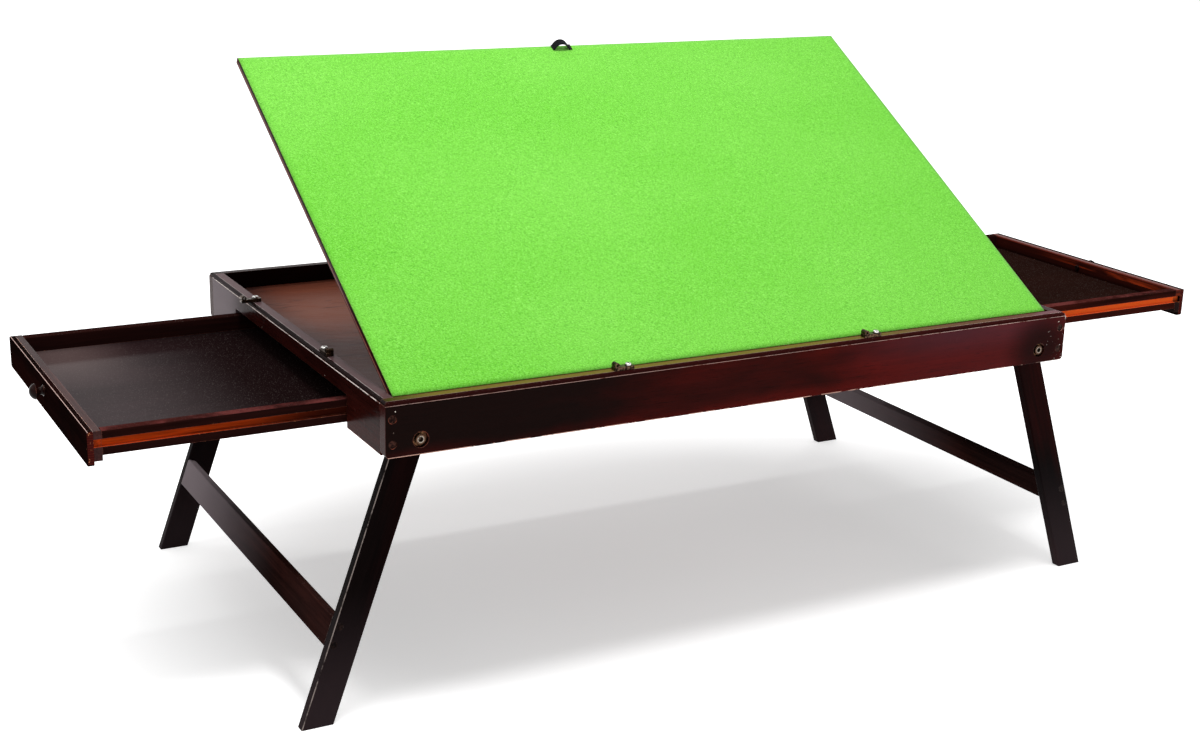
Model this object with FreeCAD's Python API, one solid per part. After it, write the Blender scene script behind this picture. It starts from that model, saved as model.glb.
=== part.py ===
"""Jigsaw puzzle table: a shallow case on folding splayed legs, with a tilting
felt board over a recessed tray and a drawer at each end.

Millimetres. +X runs along the case to its right end, +Y to the back, +Z up.
The origin is on the floor, midway between the knobs of the two drawn-out
drawers and midway between the front and back faces of the case.
"""
import FreeCAD
import Part
import math
import os

V = FreeCAD.Vector
X_AXIS = V(1, 0, 0)
Y_AXIS = V(0, 1, 0)
Z_AXIS = V(0, 0, 1)

# ---------------------------------------------------------------- driving sizes
# Case
CASE_LENGTH = 850.0
CASE_DEPTH = 574.0
RIM_HEIGHT = 337.0
RAIL_HEIGHT = 57.0
RAIL_THICKNESS = 14.0
RIM_ROUND = 3.2
RIM_QUIRK = 0.8
RAIL_BOTTOM_ROUND = 1.2
RAIL_CORNER_ROUND = 5.0

# Tray floor, let into the rails
TRAY_RECESS = 21.0
PANEL_THICKNESS = 3.0
PANEL_HOUSING = 6.0
PANEL_END_LAP = 10.0

# Drawer bays
BAY_WALL_THICKNESS = 12.0
DIVIDER_THICKNESS = 12.0

# Drawers
DRAWER_MARGIN = 105.0
DRAWER_END_GAP = 9.0
SIDE_HEIGHT = 24.5
SIDE_THICKNESS = 12.0
OUTER_FRONT_THICKNESS = 6.5
INNER_FRONT_THICKNESS = 8.0
OUTER_FRONT_HEIGHT = 35.0
INNER_FRONT_HEIGHT = 30.0
DRAWER_BACK_THICKNESS = 10.0
DRAWER_BOTTOM_THICKNESS = 3.0
DRAWER_BOTTOM_LIFT = 4.0
DRAWER_BOTTOM_HOUSING = 4.0
GROOVE_HEIGHT = 8.0
GROOVE_DEPTH = 4.0
FRONT_EDGE_ROUND = 1.5
FRONT_CORNER_ROUND = 3.5
LEFT_PULL = 258.0
RIGHT_PULL = 300.0

# Knobs
KNOB_REACH = 16.0
KNOB_HEAD_RADIUS = 8.5
KNOB_RIM_REACH = 10.0
KNOB_HEAD_REACH = 7.6
KNOB_NECK_RADIUS = 5.0
KNOB_WAIST = 1.2
KNOB_BASE_RADIUS = 5.8
KNOB_BASE_THICKNESS = 1.8
KNOB_DROP = 10.5
KNOB_SCREW_RADIUS = 1.75
KNOB_SCREW_DEPTH = 9.0
KNOB_SCREW_HEAD_RADIUS = 3.6
KNOB_SCREW_HEAD_HEIGHT = 2.2
KNOB_SCREW_HEAD_ROUND = 0.8

# Legs
LEG_WIDTH = 32.0
LEG_THICKNESS = 12.0
LEG_EDGE_ROUND = 1.5
LEG_SPLAY = math.radians(19.3)
PIVOT_DROP = 41.5
SPACER_THICKNESS = 7.2
SPACER_RADIUS = 11.0
STRETCHER_START = 200.0
STRETCHER_WIDTH = 32.0
STRETCHER_THICKNESS = 10.0
STRETCHER_SCREW_INSET = 6.0
STRETCHER_SCREW_LENGTH = 38.0
STRETCHER_SCREW_RADIUS = 2.0
STRETCHER_SCREW_HEAD_RADIUS = 3.9

# Leg bolts
BOLT_RADIUS = 3.0
BOLT_HEAD_RADIUS = 5.2
BOLT_HEAD_HEIGHT = 4.0
BOLT_HEAD_ROUND = 0.6
BOLT_SOCKET_RADIUS = 2.6
BOLT_SOCKET_DEPTH = 2.6
COUNTERBORE_RADIUS = 8.2
COUNTERBORE_DEPTH = 5.2
WASHER_RADIUS = 7.6
WASHER_THICKNESS = 1.0
NUT_RADIUS = 5.6
NUT_THICKNESS = 5.0
BOLT_TAIL = 1.5

# Corner screws
CORNER_SCREW_INSET = 7.5
CORNER_SCREW_DROPS = (17.5, 43.0)
CORNER_SCREW_RADIUS = 2.0
CORNER_SCREW_HEAD_RADIUS = 4.0
CORNER_SCREW_HEAD_HEIGHT = 2.4
CORNER_SCREW_LENGTH = 40.0
CORNER_SCREW_SINK = 0.6

# Board
BOARD_THICKNESS = 7.5
FELT_THICKNESS = 1.5
FELT_INSET = 0.8
BOARD_SIDE_GAP = 1.0
BOARD_BACK_GAP = 1.0
BOARD_RIM_DROP = 3.5
BOARD_TILT = math.radians(30.5)
BOARD_EDGE_ROUND = 1.0

# Board hinges
HINGE_BARREL_RADIUS = 2.2
HINGE_PIN_RADIUS = 1.0
HINGE_LEAF_THICKNESS = 1.0
HINGE_WIDTH = 36.0
HINGE_RAIL_LEAF = 11.0
HINGE_BOARD_LEAF = 24.0
HINGE_TO_BOARD = 9.0
HINGE_END_INSET = 55.0
PIN_TAIL = 0.5

# Prop under the board
PROP_HALF_WIDTH = 150.0
PROP_ARM_WIDTH = 18.0
PROP_THICKNESS = 6.5
PROP_BAR_WIDTH = 18.0
PROP_HINGE_OFFSET = 3.2
PROP_BARREL_RADIUS = 1.9
PROP_PIN_RADIUS = 0.9
PROP_LEAF_WIDTH = 28.0
PROP_LEAF_LENGTH = 15.0
PROP_LEAF_CENTRES = (-100.0, 100.0)
FOOT_ROD_RADIUS = 2.25

# Notched rest strips
STRIP_WIDTH = 16.0
STRIP_CENTRE = 95.0
NOTCH_RADIUS = 2.9
NOTCH_DEPTH = 1.5
NOTCH_TILTS = (15.0, 22.0, 30.5, 38.0, 45.0)
STRIP_MARGIN = 14.0
STRIP_RAIL_GAP = 23.35

# Turn buttons
BUTTON_THICKNESS = 1.2
BUTTON_WIDTH = 8.0
BUTTON_REACH = 17.0
BUTTON_TAIL = 6.5
BUTTON_TAIL_ROUND = 0.35 * BUTTON_WIDTH
BUTTON_CURL_RADIUS = 2.8
BUTTON_CURL_BORE = 1.4
BUTTON_CURL_LAP = 1.2
SPACER_RING_HEIGHT = 2.6
SPACER_RING_RADIUS = 2.4
BUTTON_SCREW_RADIUS = 1.6
BUTTON_SCREW_HEAD_RADIUS = 3.5
BUTTON_SCREW_HEAD_HEIGHT = 2.4
BUTTON_SCREW_HEAD_ROUND = 0.6 * BUTTON_SCREW_HEAD_HEIGHT
BUTTON_RECESS_LENGTH = 3.8
BUTTON_RECESS_WIDTH = 0.9
BUTTON_RECESS_DEPTH = 1.3
BUTTON_SCREW_DEPTH = 14.0
END_BUTTON_PLACES = (-101.0, 128.0)
LONG_BUTTON_PLACES = (-157.0, 155.0)

# Pull tab
TAB_SPAN = 26.0
TAB_RISE = 6.0
TAB_WIDTH = 10.0
TAB_THICKNESS = 1.6
TAB_FOOT = 5.0

# Clearances
SLIDE_GAP = 1.0
DRAWER_TOP_GAP = 1.8
RUNNER_GAP = 0.3
RUNNER_TIP_GAP = 0.6
SHAFT_GAP = 0.05
FACE_GAP = 0.3
SEAT_GAP = 0.02
NOTCH_GAP = 0.35
SCREW_TIP_GAP = 1.0
CUT_MARGIN = 1.0
EDGE_REACH = 1.0
FINE_EDGE_REACH = 0.1

# ---------------------------------------------------------------- derived places
CASE_CENTRE_X = (LEFT_PULL - RIGHT_PULL) / 2
END_X = CASE_LENGTH / 2
FACE_Y = CASE_DEPTH / 2
INNER_X = END_X - RAIL_THICKNESS
INNER_Y = FACE_Y - RAIL_THICKNESS
RAIL_BOTTOM = RIM_HEIGHT - RAIL_HEIGHT
TRAY_TOP = RIM_HEIGHT - TRAY_RECESS
PANEL_BOTTOM = TRAY_TOP - PANEL_THICKNESS

DRAWER_WIDTH = CASE_DEPTH - 2 * DRAWER_MARGIN
DRAWER_LENGTH = END_X - DIVIDER_THICKNESS / 2 - DRAWER_END_GAP
DRAWER_TOP = PANEL_BOTTOM - DRAWER_TOP_GAP
SIDE_BOTTOM = DRAWER_TOP - SIDE_HEIGHT
FRONTS_THICKNESS = OUTER_FRONT_THICKNESS + INNER_FRONT_THICKNESS
BAY_HALF = DRAWER_WIDTH / 2 + SLIDE_GAP
BAY_WALL_BOTTOM = SIDE_BOTTOM
GROOVE_CENTRE_Z = SIDE_BOTTOM + SIDE_HEIGHT / 2

PIVOT_Z = RIM_HEIGHT - PIVOT_DROP
STOP_DROP = PIVOT_Z - RAIL_BOTTOM
PIVOT_X = INNER_X - (LEG_WIDTH / 2 + FACE_GAP + STOP_DROP * math.sin(LEG_SPLAY)) / math.cos(LEG_SPLAY)
LEG_OUTER_Y = INNER_Y - SPACER_THICKNESS - FACE_GAP
LEG_INNER_Y = LEG_OUTER_Y - LEG_THICKNESS

BOARD_UNDERSIDE = RIM_HEIGHT - BOARD_RIM_DROP - FELT_THICKNESS - BOARD_THICKNESS
HINGE_Y = -INNER_Y + HINGE_BARREL_RADIUS + FACE_GAP
HINGE_Z = BOARD_UNDERSIDE - HINGE_BARREL_RADIUS
BOARD_FRONT = HINGE_Y + HINGE_TO_BOARD
BOARD_BACK = INNER_Y - BOARD_BACK_GAP
BOARD_HALF_LENGTH = INNER_X - BOARD_SIDE_GAP
HINGE_CENTRES = (HINGE_END_INSET - END_X, 0.0, END_X - HINGE_END_INSET)
LAST_NOTCH_Y = INNER_Y - STRIP_RAIL_GAP - STRIP_MARGIN
PROP_REACH = (LAST_NOTCH_Y - HINGE_Y) / (2 * math.cos(math.radians(min(NOTCH_TILTS))))
PROP_Y = HINGE_Y + PROP_REACH
PROP_TOP = HINGE_Z + PROP_BARREL_RADIUS - FACE_GAP
PROP_CENTRE_Z = PROP_TOP - PROP_THICKNESS / 2
FOOT_Y = PROP_Y + PROP_REACH
STRIP_TOP = PROP_CENTRE_Z - FOOT_ROD_RADIUS - NOTCH_GAP


# ---------------------------------------------------------------- helpers
def box(x0, x1, y0, y1, z0, z1):
    """Block between two corners, given axis by axis in any order."""
    low = V(min(x0, x1), min(y0, y1), min(z0, z1))
    return Part.makeBox(abs(x1 - x0), abs(y1 - y0), abs(z1 - z0), low)


def rod(start, direction, radius, length):
    return Part.makeCylinder(radius, length, start, direction)


def face_of(points, arcs=()):
    """Face of a closed outline. arcs maps the index of a side's first point to
    the point that its arc passes through."""
    bends = dict(arcs)
    edges = []
    for i, start in enumerate(points):
        end = points[(i + 1) % len(points)]
        if i in bends:
            edges.append(Part.Arc(start, bends[i], end).toShape())
        else:
            edges.append(Part.LineSegment(start, end).toShape())
    return Part.Face(Part.Wire(edges))


def round_edges(shape, radius, chosen):
    """Fillet the edges that the test picks."""
    edges = [edge for edge in shape.Edges if chosen(edge)]
    return shape.makeFillet(radius, edges) if edges else shape


def runs_along(edge, axis):
    """True for a straight edge parallel to the axis."""
    if edge.Curve.TypeId != "Part::GeomLine":
        return False
    return abs(edge.tangentAt(edge.FirstParameter).dot(axis)) > 0.999


def mirrored_x(shape):
    return shape.mirror(V(0, 0, 0), X_AXIS)


def mirrored_y(shape):
    return shape.mirror(V(0, 0, 0), Y_AXIS)


def turned(shape, centre, axis, angle):
    copy = shape.copy()
    copy.rotate(centre, axis, math.degrees(angle))
    return copy


def with_board(shape):
    """Carry a piece from the flat board to the tilted one."""
    return turned(shape, V(0, HINGE_Y, HINGE_Z), X_AXIS, BOARD_TILT)


def with_prop(shape):
    """Swing a piece of the folded prop down, then tilt it with the board."""
    swung = turned(shape, V(0, PROP_Y, HINGE_Z), X_AXIS, -2 * BOARD_TILT)
    return with_board(swung)


def ring(centre, axis, outer, inner, height):
    return rod(centre, axis, outer, height).cut(rod(centre, axis, inner, height))


def leg_point(along, across):
    """Point of the left leg's side view: along from the pivot to the foot,
    across outwards from its centre line."""
    x = -PIVOT_X - along * math.sin(LEG_SPLAY) - across * math.cos(LEG_SPLAY)
    z = PIVOT_Z - along * math.cos(LEG_SPLAY) + across * math.sin(LEG_SPLAY)
    return V(x, 0, z)


# ---------------------------------------------------------------- case
def rim_profile(half):
    """Half outline of the case across its outer face: (distance from the
    middle, height) pairs, up the face, over the quirk and the round-over."""
    step = half - RIM_QUIRK
    under = RIM_HEIGHT - RIM_ROUND - RIM_QUIRK
    crown = RIM_HEIGHT - RIM_ROUND
    turn = RIM_ROUND * (1 - math.sqrt(0.5))
    return {
        "bottom": (half - RAIL_BOTTOM_ROUND, RAIL_BOTTOM),
        "bottom_mid": (half - RAIL_BOTTOM_ROUND * (1 - math.sqrt(0.5)),
                       RAIL_BOTTOM + RAIL_BOTTOM_ROUND * (1 - math.sqrt(0.5))),
        "face_low": (half, RAIL_BOTTOM + RAIL_BOTTOM_ROUND),
        "face_high": (half, under),
        "quirk": (step, under),
        "round_start": (step, crown),
        "round_mid": (step - turn, RIM_HEIGHT - turn),
        "round_end": (step - RIM_ROUND, RIM_HEIGHT),
    }


def moulded_block(half, place, direction):
    """Case-sized block with the rim moulding on its two faces across place."""
    side = rim_profile(half)
    order = ("bottom", "face_low", "face_high", "quirk", "round_start", "round_end")
    right = [place(side[name][0], side[name][1]) for name in order]
    left = [place(-side[name][0], side[name][1]) for name in reversed(order)]
    arcs = {
        0: place(*side["bottom_mid"]),
        4: place(*side["round_mid"]),
        6: place(-side["round_mid"][0], side["round_mid"][1]),
        10: place(-side["bottom_mid"][0], side["bottom_mid"][1]),
    }
    return face_of(right + left, arcs).extrude(direction)


def case_envelope():
    """The case's outer form with the rim moulding mitred round its corners."""
    along = moulded_block(FACE_Y, lambda d, z: V(-END_X, d, z), V(CASE_LENGTH, 0, 0))
    across = moulded_block(END_X, lambda d, z: V(d, -FACE_Y, z), V(0, CASE_DEPTH, 0))
    return along.common(across)


def floor_panel():
    """Thin panel that is the floor of the tray, housed in the rails."""
    half_x = INNER_X + PANEL_END_LAP
    half_y = INNER_Y + PANEL_HOUSING
    return box(-half_x, half_x, -half_y, half_y, PANEL_BOTTOM, TRAY_TOP)


def screw_places():
    """Corner screws of the front rail: (x, z)."""
    places = []
    for x in (-END_X + CORNER_SCREW_INSET, END_X - CORNER_SCREW_INSET):
        for drop in CORNER_SCREW_DROPS:
            places.append((x, RIM_HEIGHT - drop))
    return places


def corner_screw(x, z, gap):
    """Countersunk screw through the front rail into the end rail."""
    face = -FACE_Y + CORNER_SCREW_SINK
    head = Part.makeCone(
        CORNER_SCREW_HEAD_RADIUS + gap, CORNER_SCREW_RADIUS + gap,
        CORNER_SCREW_HEAD_HEIGHT, V(x, face, z), Y_AXIS)
    shank = rod(V(x, face, z), Y_AXIS, CORNER_SCREW_RADIUS + gap, CORNER_SCREW_LENGTH + gap)
    return head.fuse(shank).removeSplitter()


def corner_screw_hole(x, z):
    sink = rod(V(x, -FACE_Y - CUT_MARGIN, z), Y_AXIS, CORNER_SCREW_HEAD_RADIUS + SHAFT_GAP,
               CORNER_SCREW_SINK + CUT_MARGIN)
    return corner_screw(x, z, SHAFT_GAP).fuse(sink)


def corner_screws():
    front = [corner_screw(x, z, 0) for x, z in screw_places()]
    back = [mirrored_y(screw) for screw in front]
    return Part.makeCompound(front + back)


def bolt_places():
    return (-PIVOT_X, PIVOT_X)


def front_rail(envelope):
    """Full-length rail, drilled for the corner screws, the leg bolts and the
    front turn buttons, and grooved for the tray floor."""
    rail = box(-END_X, END_X, -FACE_Y, -INNER_Y, RAIL_BOTTOM, RIM_HEIGHT)
    rail = round_edges(
        rail, RAIL_CORNER_ROUND,
        lambda e: runs_along(e, Y_AXIS) and e.CenterOfMass.z < RAIL_BOTTOM + EDGE_REACH)
    rail = rail.common(envelope).cut(floor_panel())
    for x, z in screw_places():
        rail = rail.cut(corner_screw_hole(x, z))
    for x in bolt_places():
        bore = rod(V(x, -FACE_Y, PIVOT_Z), Y_AXIS, BOLT_RADIUS + SHAFT_GAP, RAIL_THICKNESS)
        sink = rod(V(x, -FACE_Y, PIVOT_Z), Y_AXIS, COUNTERBORE_RADIUS, COUNTERBORE_DEPTH)
        rail = rail.cut(bore).cut(sink)
    for x in LONG_BUTTON_PLACES:
        rail = rail.cut(button_screw_bore(V(x, -FACE_Y + RAIL_THICKNESS / 2, RIM_HEIGHT)))
    return rail


def end_rail(envelope):
    """Left end rail: a strip over the drawer doorway and a jamb at each side,
    cut from one board."""
    rail = box(-END_X, -INNER_X, -INNER_Y, INNER_Y, RAIL_BOTTOM, RIM_HEIGHT).common(envelope)
    doorway = box(-END_X - CUT_MARGIN, -INNER_X + CUT_MARGIN, -BAY_HALF, BAY_HALF,
                  RAIL_BOTTOM - CUT_MARGIN, TRAY_TOP)
    rail = rail.cut(doorway).cut(floor_panel())
    for x, z in screw_places():
        hole = corner_screw_hole(x, z)
        rail = rail.cut(hole).cut(mirrored_y(hole))
    for y in END_BUTTON_PLACES:
        rail = rail.cut(button_screw_bore(V(-END_X + RAIL_THICKNESS / 2, y, RIM_HEIGHT)))
    return rail


def bay_wall():
    """Front wall of the drawer bays, from end rail to end rail under the tray."""
    return box(-INNER_X, INNER_X, -BAY_HALF - BAY_WALL_THICKNESS, -BAY_HALF,
               BAY_WALL_BOTTOM, PANEL_BOTTOM)


def centre_divider():
    half = DIVIDER_THICKNESS / 2
    return box(-half, half, -BAY_HALF, BAY_HALF, BAY_WALL_BOTTOM, PANEL_BOTTOM)


def drawer_runners():
    """Strips on the bay walls that the drawers' grooved sides hang on."""
    height = GROOVE_HEIGHT - 2 * RUNNER_GAP
    reach = SLIDE_GAP + GROOVE_DEPTH - RUNNER_TIP_GAP
    near = END_X - FRONTS_THICKNESS - FACE_GAP
    far = DIVIDER_THICKNESS / 2
    low = GROOVE_CENTRE_Z - height / 2
    strip = box(-near, -far, -BAY_HALF, -BAY_HALF + reach, low, low + height)
    pair = [strip, mirrored_y(strip)]
    return Part.makeCompound(pair + [mirrored_x(s) for s in pair])


# ---------------------------------------------------------------- leg fittings
def four_places(shape):
    """A front left fitting and its three mirror images."""
    pair = [shape, mirrored_y(shape)]
    return Part.makeCompound(pair + [mirrored_x(s) for s in pair])


def leg_bolt():
    """Socket-head bolt from the rail's counterbore through the leg."""
    seat = -FACE_Y + COUNTERBORE_DEPTH - WASHER_THICKNESS
    nut_face = -LEG_INNER_Y + FACE_GAP + WASHER_THICKNESS
    length = nut_face + NUT_THICKNESS + BOLT_TAIL - seat
    head = rod(V(-PIVOT_X, seat - BOLT_HEAD_HEIGHT, PIVOT_Z), Y_AXIS, BOLT_HEAD_RADIUS,
               BOLT_HEAD_HEIGHT)
    head = round_edges(head, BOLT_HEAD_ROUND,
                       lambda e: e.CenterOfMass.y < seat - BOLT_HEAD_HEIGHT + FINE_EDGE_REACH)
    corners = [V(-PIVOT_X + BOLT_SOCKET_RADIUS * math.cos(math.radians(60 * i)),
                 seat - BOLT_HEAD_HEIGHT,
                 PIVOT_Z + BOLT_SOCKET_RADIUS * math.sin(math.radians(60 * i)))
               for i in range(6)]
    socket = face_of(corners).extrude(V(0, BOLT_SOCKET_DEPTH, 0))
    shank = rod(V(-PIVOT_X, seat, PIVOT_Z), Y_AXIS, BOLT_RADIUS, length)
    return head.cut(socket).fuse(shank).removeSplitter()


def leg_washers():
    """A washer under the bolt's head and one under the nut."""
    head_side = ring(V(-PIVOT_X, -FACE_Y + COUNTERBORE_DEPTH - WASHER_THICKNESS, PIVOT_Z), Y_AXIS,
                     WASHER_RADIUS, BOLT_RADIUS + SEAT_GAP, WASHER_THICKNESS)
    nut_side = ring(V(-PIVOT_X, -LEG_INNER_Y + FACE_GAP, PIVOT_Z), Y_AXIS,
                    WASHER_RADIUS, BOLT_RADIUS + SEAT_GAP, WASHER_THICKNESS)
    return Part.makeCompound([head_side, nut_side])


def leg_nut():
    start = -LEG_INNER_Y + FACE_GAP + WASHER_THICKNESS
    corners = [V(-PIVOT_X + NUT_RADIUS * math.cos(math.radians(60 * i)), start,
                 PIVOT_Z + NUT_RADIUS * math.sin(math.radians(60 * i))) for i in range(6)]
    nut = face_of(corners).extrude(V(0, NUT_THICKNESS, 0))
    return nut.cut(rod(V(-PIVOT_X, start, PIVOT_Z), Y_AXIS, BOLT_RADIUS + SEAT_GAP, NUT_THICKNESS))


def leg_spacer():
    """Plain disc that holds the leg off the rail."""
    return ring(V(-PIVOT_X, -INNER_Y, PIVOT_Z), Y_AXIS, SPACER_RADIUS,
                BOLT_RADIUS + SEAT_GAP, SPACER_THICKNESS)


# ---------------------------------------------------------------- legs
def stretcher_screw_places():
    """Two screws into each end of the stretcher: distances along the leg."""
    return (STRETCHER_START + STRETCHER_SCREW_INSET,
            STRETCHER_START + STRETCHER_WIDTH - STRETCHER_SCREW_INSET)


def stretcher_screw(along, gap):
    """Countersunk screw through the leg's outer face into the stretcher."""
    across = LEG_WIDTH / 2 - STRETCHER_THICKNESS / 2
    start = leg_point(along, across) + V(0, -LEG_OUTER_Y, 0)
    sink = STRETCHER_SCREW_HEAD_RADIUS - STRETCHER_SCREW_RADIUS
    head = Part.makeCone(STRETCHER_SCREW_HEAD_RADIUS + gap, STRETCHER_SCREW_RADIUS + gap,
                         sink, start, Y_AXIS)
    shank = rod(start, Y_AXIS, STRETCHER_SCREW_RADIUS + gap, STRETCHER_SCREW_LENGTH + gap)
    return head.fuse(shank).removeSplitter()


def leg():
    """Front left leg: round at the pivot, cut level with the floor."""
    half = LEG_WIDTH / 2

    def floor_along(across):
        return (PIVOT_Z + across * math.sin(LEG_SPLAY)) / math.cos(LEG_SPLAY)

    points = [leg_point(0, half), leg_point(floor_along(half), half),
              leg_point(floor_along(-half), -half), leg_point(0, -half)]
    body = face_of(points, {3: leg_point(-half, 0)}).extrude(V(0, LEG_THICKNESS, 0))
    body.translate(V(0, -LEG_OUTER_Y, 0))
    slope = (leg_point(1, 0) - leg_point(0, 0)).normalize()
    body = round_edges(body, LEG_EDGE_ROUND, lambda e: runs_along(e, slope))
    body = body.cut(rod(V(-PIVOT_X, -LEG_OUTER_Y, PIVOT_Z), Y_AXIS,
                        BOLT_RADIUS + SHAFT_GAP, LEG_THICKNESS))
    for along in stretcher_screw_places():
        body = body.cut(stretcher_screw(along, SHAFT_GAP))
    return body


def stretcher():
    """Flat bar between the two legs of an end, flush with their outer edges."""
    outer = LEG_WIDTH / 2
    inner = outer - STRETCHER_THICKNESS
    end = STRETCHER_START + STRETCHER_WIDTH
    points = [leg_point(STRETCHER_START, outer), leg_point(end, outer),
              leg_point(end, inner), leg_point(STRETCHER_START, inner)]
    bar = face_of(points).extrude(V(0, 2 * LEG_INNER_Y, 0))
    bar.translate(V(0, -LEG_INNER_Y, 0))
    bar = round_edges(bar, LEG_EDGE_ROUND, lambda e: runs_along(e, Y_AXIS))
    for along in stretcher_screw_places():
        hole = stretcher_screw(along, SHAFT_GAP)
        bar = bar.cut(hole).cut(mirrored_y(hole))
    return bar


def stretcher_screws():
    front = [stretcher_screw(along, 0) for along in stretcher_screw_places()]
    return Part.makeCompound(front + [mirrored_y(screw) for screw in front])


# ---------------------------------------------------------------- drawers
def drawer_bottom():
    """Left drawer's bottom, closed: a thin panel housed on all four sides."""
    front = -END_X + FRONTS_THICKNESS - DRAWER_BOTTOM_HOUSING
    back = -END_X + DRAWER_LENGTH - DRAWER_BACK_THICKNESS + DRAWER_BOTTOM_HOUSING
    half = DRAWER_WIDTH / 2 - SIDE_THICKNESS + DRAWER_BOTTOM_HOUSING
    low = SIDE_BOTTOM + DRAWER_BOTTOM_LIFT
    return box(front, back, -half, half, low, low + DRAWER_BOTTOM_THICKNESS)


def runner_groove():
    """Cutter for the groove outside the front-hand side of the left drawer."""
    half = DRAWER_WIDTH / 2
    return box(-END_X + OUTER_FRONT_THICKNESS, END_X, -half - CUT_MARGIN, -half + GROOVE_DEPTH,
               GROOVE_CENTRE_Z - GROOVE_HEIGHT / 2, GROOVE_CENTRE_Z + GROOVE_HEIGHT / 2)


def drawer_side():
    """Front-hand side of the left drawer, grooved outside for its runner."""
    half = DRAWER_WIDTH / 2
    side = box(-END_X + FRONTS_THICKNESS, -END_X + DRAWER_LENGTH,
               -half, -half + SIDE_THICKNESS, SIDE_BOTTOM, DRAWER_TOP)
    side = round_edges(
        side, FRONT_EDGE_ROUND,
        lambda e: runs_along(e, X_AXIS) and e.CenterOfMass.z > DRAWER_TOP - EDGE_REACH)
    return side.cut(runner_groove()).cut(drawer_bottom())


def drawer_back():
    half = DRAWER_WIDTH / 2 - SIDE_THICKNESS
    end = -END_X + DRAWER_LENGTH
    return box(end - DRAWER_BACK_THICKNESS, end, -half, half,
               SIDE_BOTTOM, DRAWER_TOP).cut(drawer_bottom())


def knob_centre_z():
    return DRAWER_TOP - KNOB_DROP


def knob_bore(length):
    start = -END_X + FRONTS_THICKNESS
    return rod(V(start, 0, knob_centre_z()), -X_AXIS, KNOB_SCREW_RADIUS + SHAFT_GAP, length)


def inner_front():
    """The box's own front, behind the show front; the side grooves run on through it."""
    start = -END_X + OUTER_FRONT_THICKNESS
    half = DRAWER_WIDTH / 2
    board = box(start, start + INNER_FRONT_THICKNESS, -half, half,
                DRAWER_TOP - INNER_FRONT_HEIGHT, DRAWER_TOP)
    board = round_edges(
        board, FRONT_EDGE_ROUND,
        lambda e: runs_along(e, Y_AXIS) and e.CenterOfMass.z > DRAWER_TOP - EDGE_REACH
        and e.CenterOfMass.x > start + EDGE_REACH)
    for groove in (runner_groove(), mirrored_y(runner_groove())):
        board = board.cut(groove)
    return board.cut(drawer_bottom()).cut(knob_bore(FRONTS_THICKNESS))


def outer_front():
    """The show front, with its outer edges eased."""
    half = DRAWER_WIDTH / 2
    board = box(-END_X, -END_X + OUTER_FRONT_THICKNESS, -half, half,
                DRAWER_TOP - OUTER_FRONT_HEIGHT, DRAWER_TOP)
    board = round_edges(
        board, FRONT_CORNER_ROUND,
        lambda e: runs_along(e, X_AXIS) and e.CenterOfMass.z < DRAWER_TOP - OUTER_FRONT_HEIGHT / 2)
    board = round_edges(
        board, FRONT_EDGE_ROUND,
        lambda e: e.CenterOfMass.x < -END_X + FINE_EDGE_REACH)
    return board.cut(knob_bore(FRONTS_THICKNESS))


def knob():
    """Turned mushroom knob, drilled from its base for the screw."""
    z = knob_centre_z()

    def at(reach, radius):
        return V(-END_X - reach, 0, z + radius)

    rise = KNOB_REACH - KNOB_RIM_REACH
    dome_radius = (KNOB_HEAD_RADIUS ** 2 + rise ** 2) / (2 * rise)
    dome_centre = KNOB_REACH - dome_radius
    half_turn = math.atan2(KNOB_HEAD_RADIUS, KNOB_RIM_REACH - dome_centre) / 2
    points = [
        at(0, 0), at(0, KNOB_BASE_RADIUS), at(KNOB_BASE_THICKNESS, KNOB_BASE_RADIUS),
        at(KNOB_HEAD_REACH, KNOB_NECK_RADIUS), at(KNOB_RIM_REACH, KNOB_HEAD_RADIUS),
        at(KNOB_REACH, 0),
    ]
    arcs = {
        2: at((KNOB_BASE_THICKNESS + KNOB_HEAD_REACH) / 2, KNOB_NECK_RADIUS - KNOB_WAIST),
        4: at(dome_centre + dome_radius * math.cos(half_turn), dome_radius * math.sin(half_turn)),
    }
    body = face_of(points, arcs).revolve(at(0, 0), X_AXIS, 360)
    return body.cut(rod(at(0, 0), -X_AXIS, KNOB_SCREW_RADIUS + SHAFT_GAP, KNOB_SCREW_DEPTH))


def knob_screw():
    """Pan-head screw from inside the drawer into the knob."""
    start = -END_X + FRONTS_THICKNESS
    z = knob_centre_z()
    head = rod(V(start, 0, z), X_AXIS, KNOB_SCREW_HEAD_RADIUS, KNOB_SCREW_HEAD_HEIGHT)
    head = round_edges(head, KNOB_SCREW_HEAD_ROUND,
                       lambda e: e.CenterOfMass.x > start + EDGE_REACH)
    length = FRONTS_THICKNESS + KNOB_SCREW_DEPTH - SCREW_TIP_GAP
    return head.fuse(rod(V(start, 0, z), -X_AXIS, KNOB_SCREW_RADIUS, length)).removeSplitter()


def drawer_pieces():
    """Left drawer, closed: name to shape."""
    side = drawer_side()
    return {
        "outer_front": outer_front(),
        "inner_front": inner_front(),
        "front_side": side,
        "back_side": mirrored_y(side),
        "back": drawer_back(),
        "bottom": drawer_bottom(),
        "knob": knob(),
        "knob_screw": knob_screw(),
    }


# ---------------------------------------------------------------- board
def board_panel():
    """Tilting panel, lying flat."""
    panel = box(-BOARD_HALF_LENGTH, BOARD_HALF_LENGTH, BOARD_FRONT, BOARD_BACK,
                BOARD_UNDERSIDE, BOARD_UNDERSIDE + BOARD_THICKNESS)
    return round_edges(panel, BOARD_EDGE_ROUND,
                       lambda e: e.CenterOfMass.z < BOARD_UNDERSIDE + FINE_EDGE_REACH)


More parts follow.
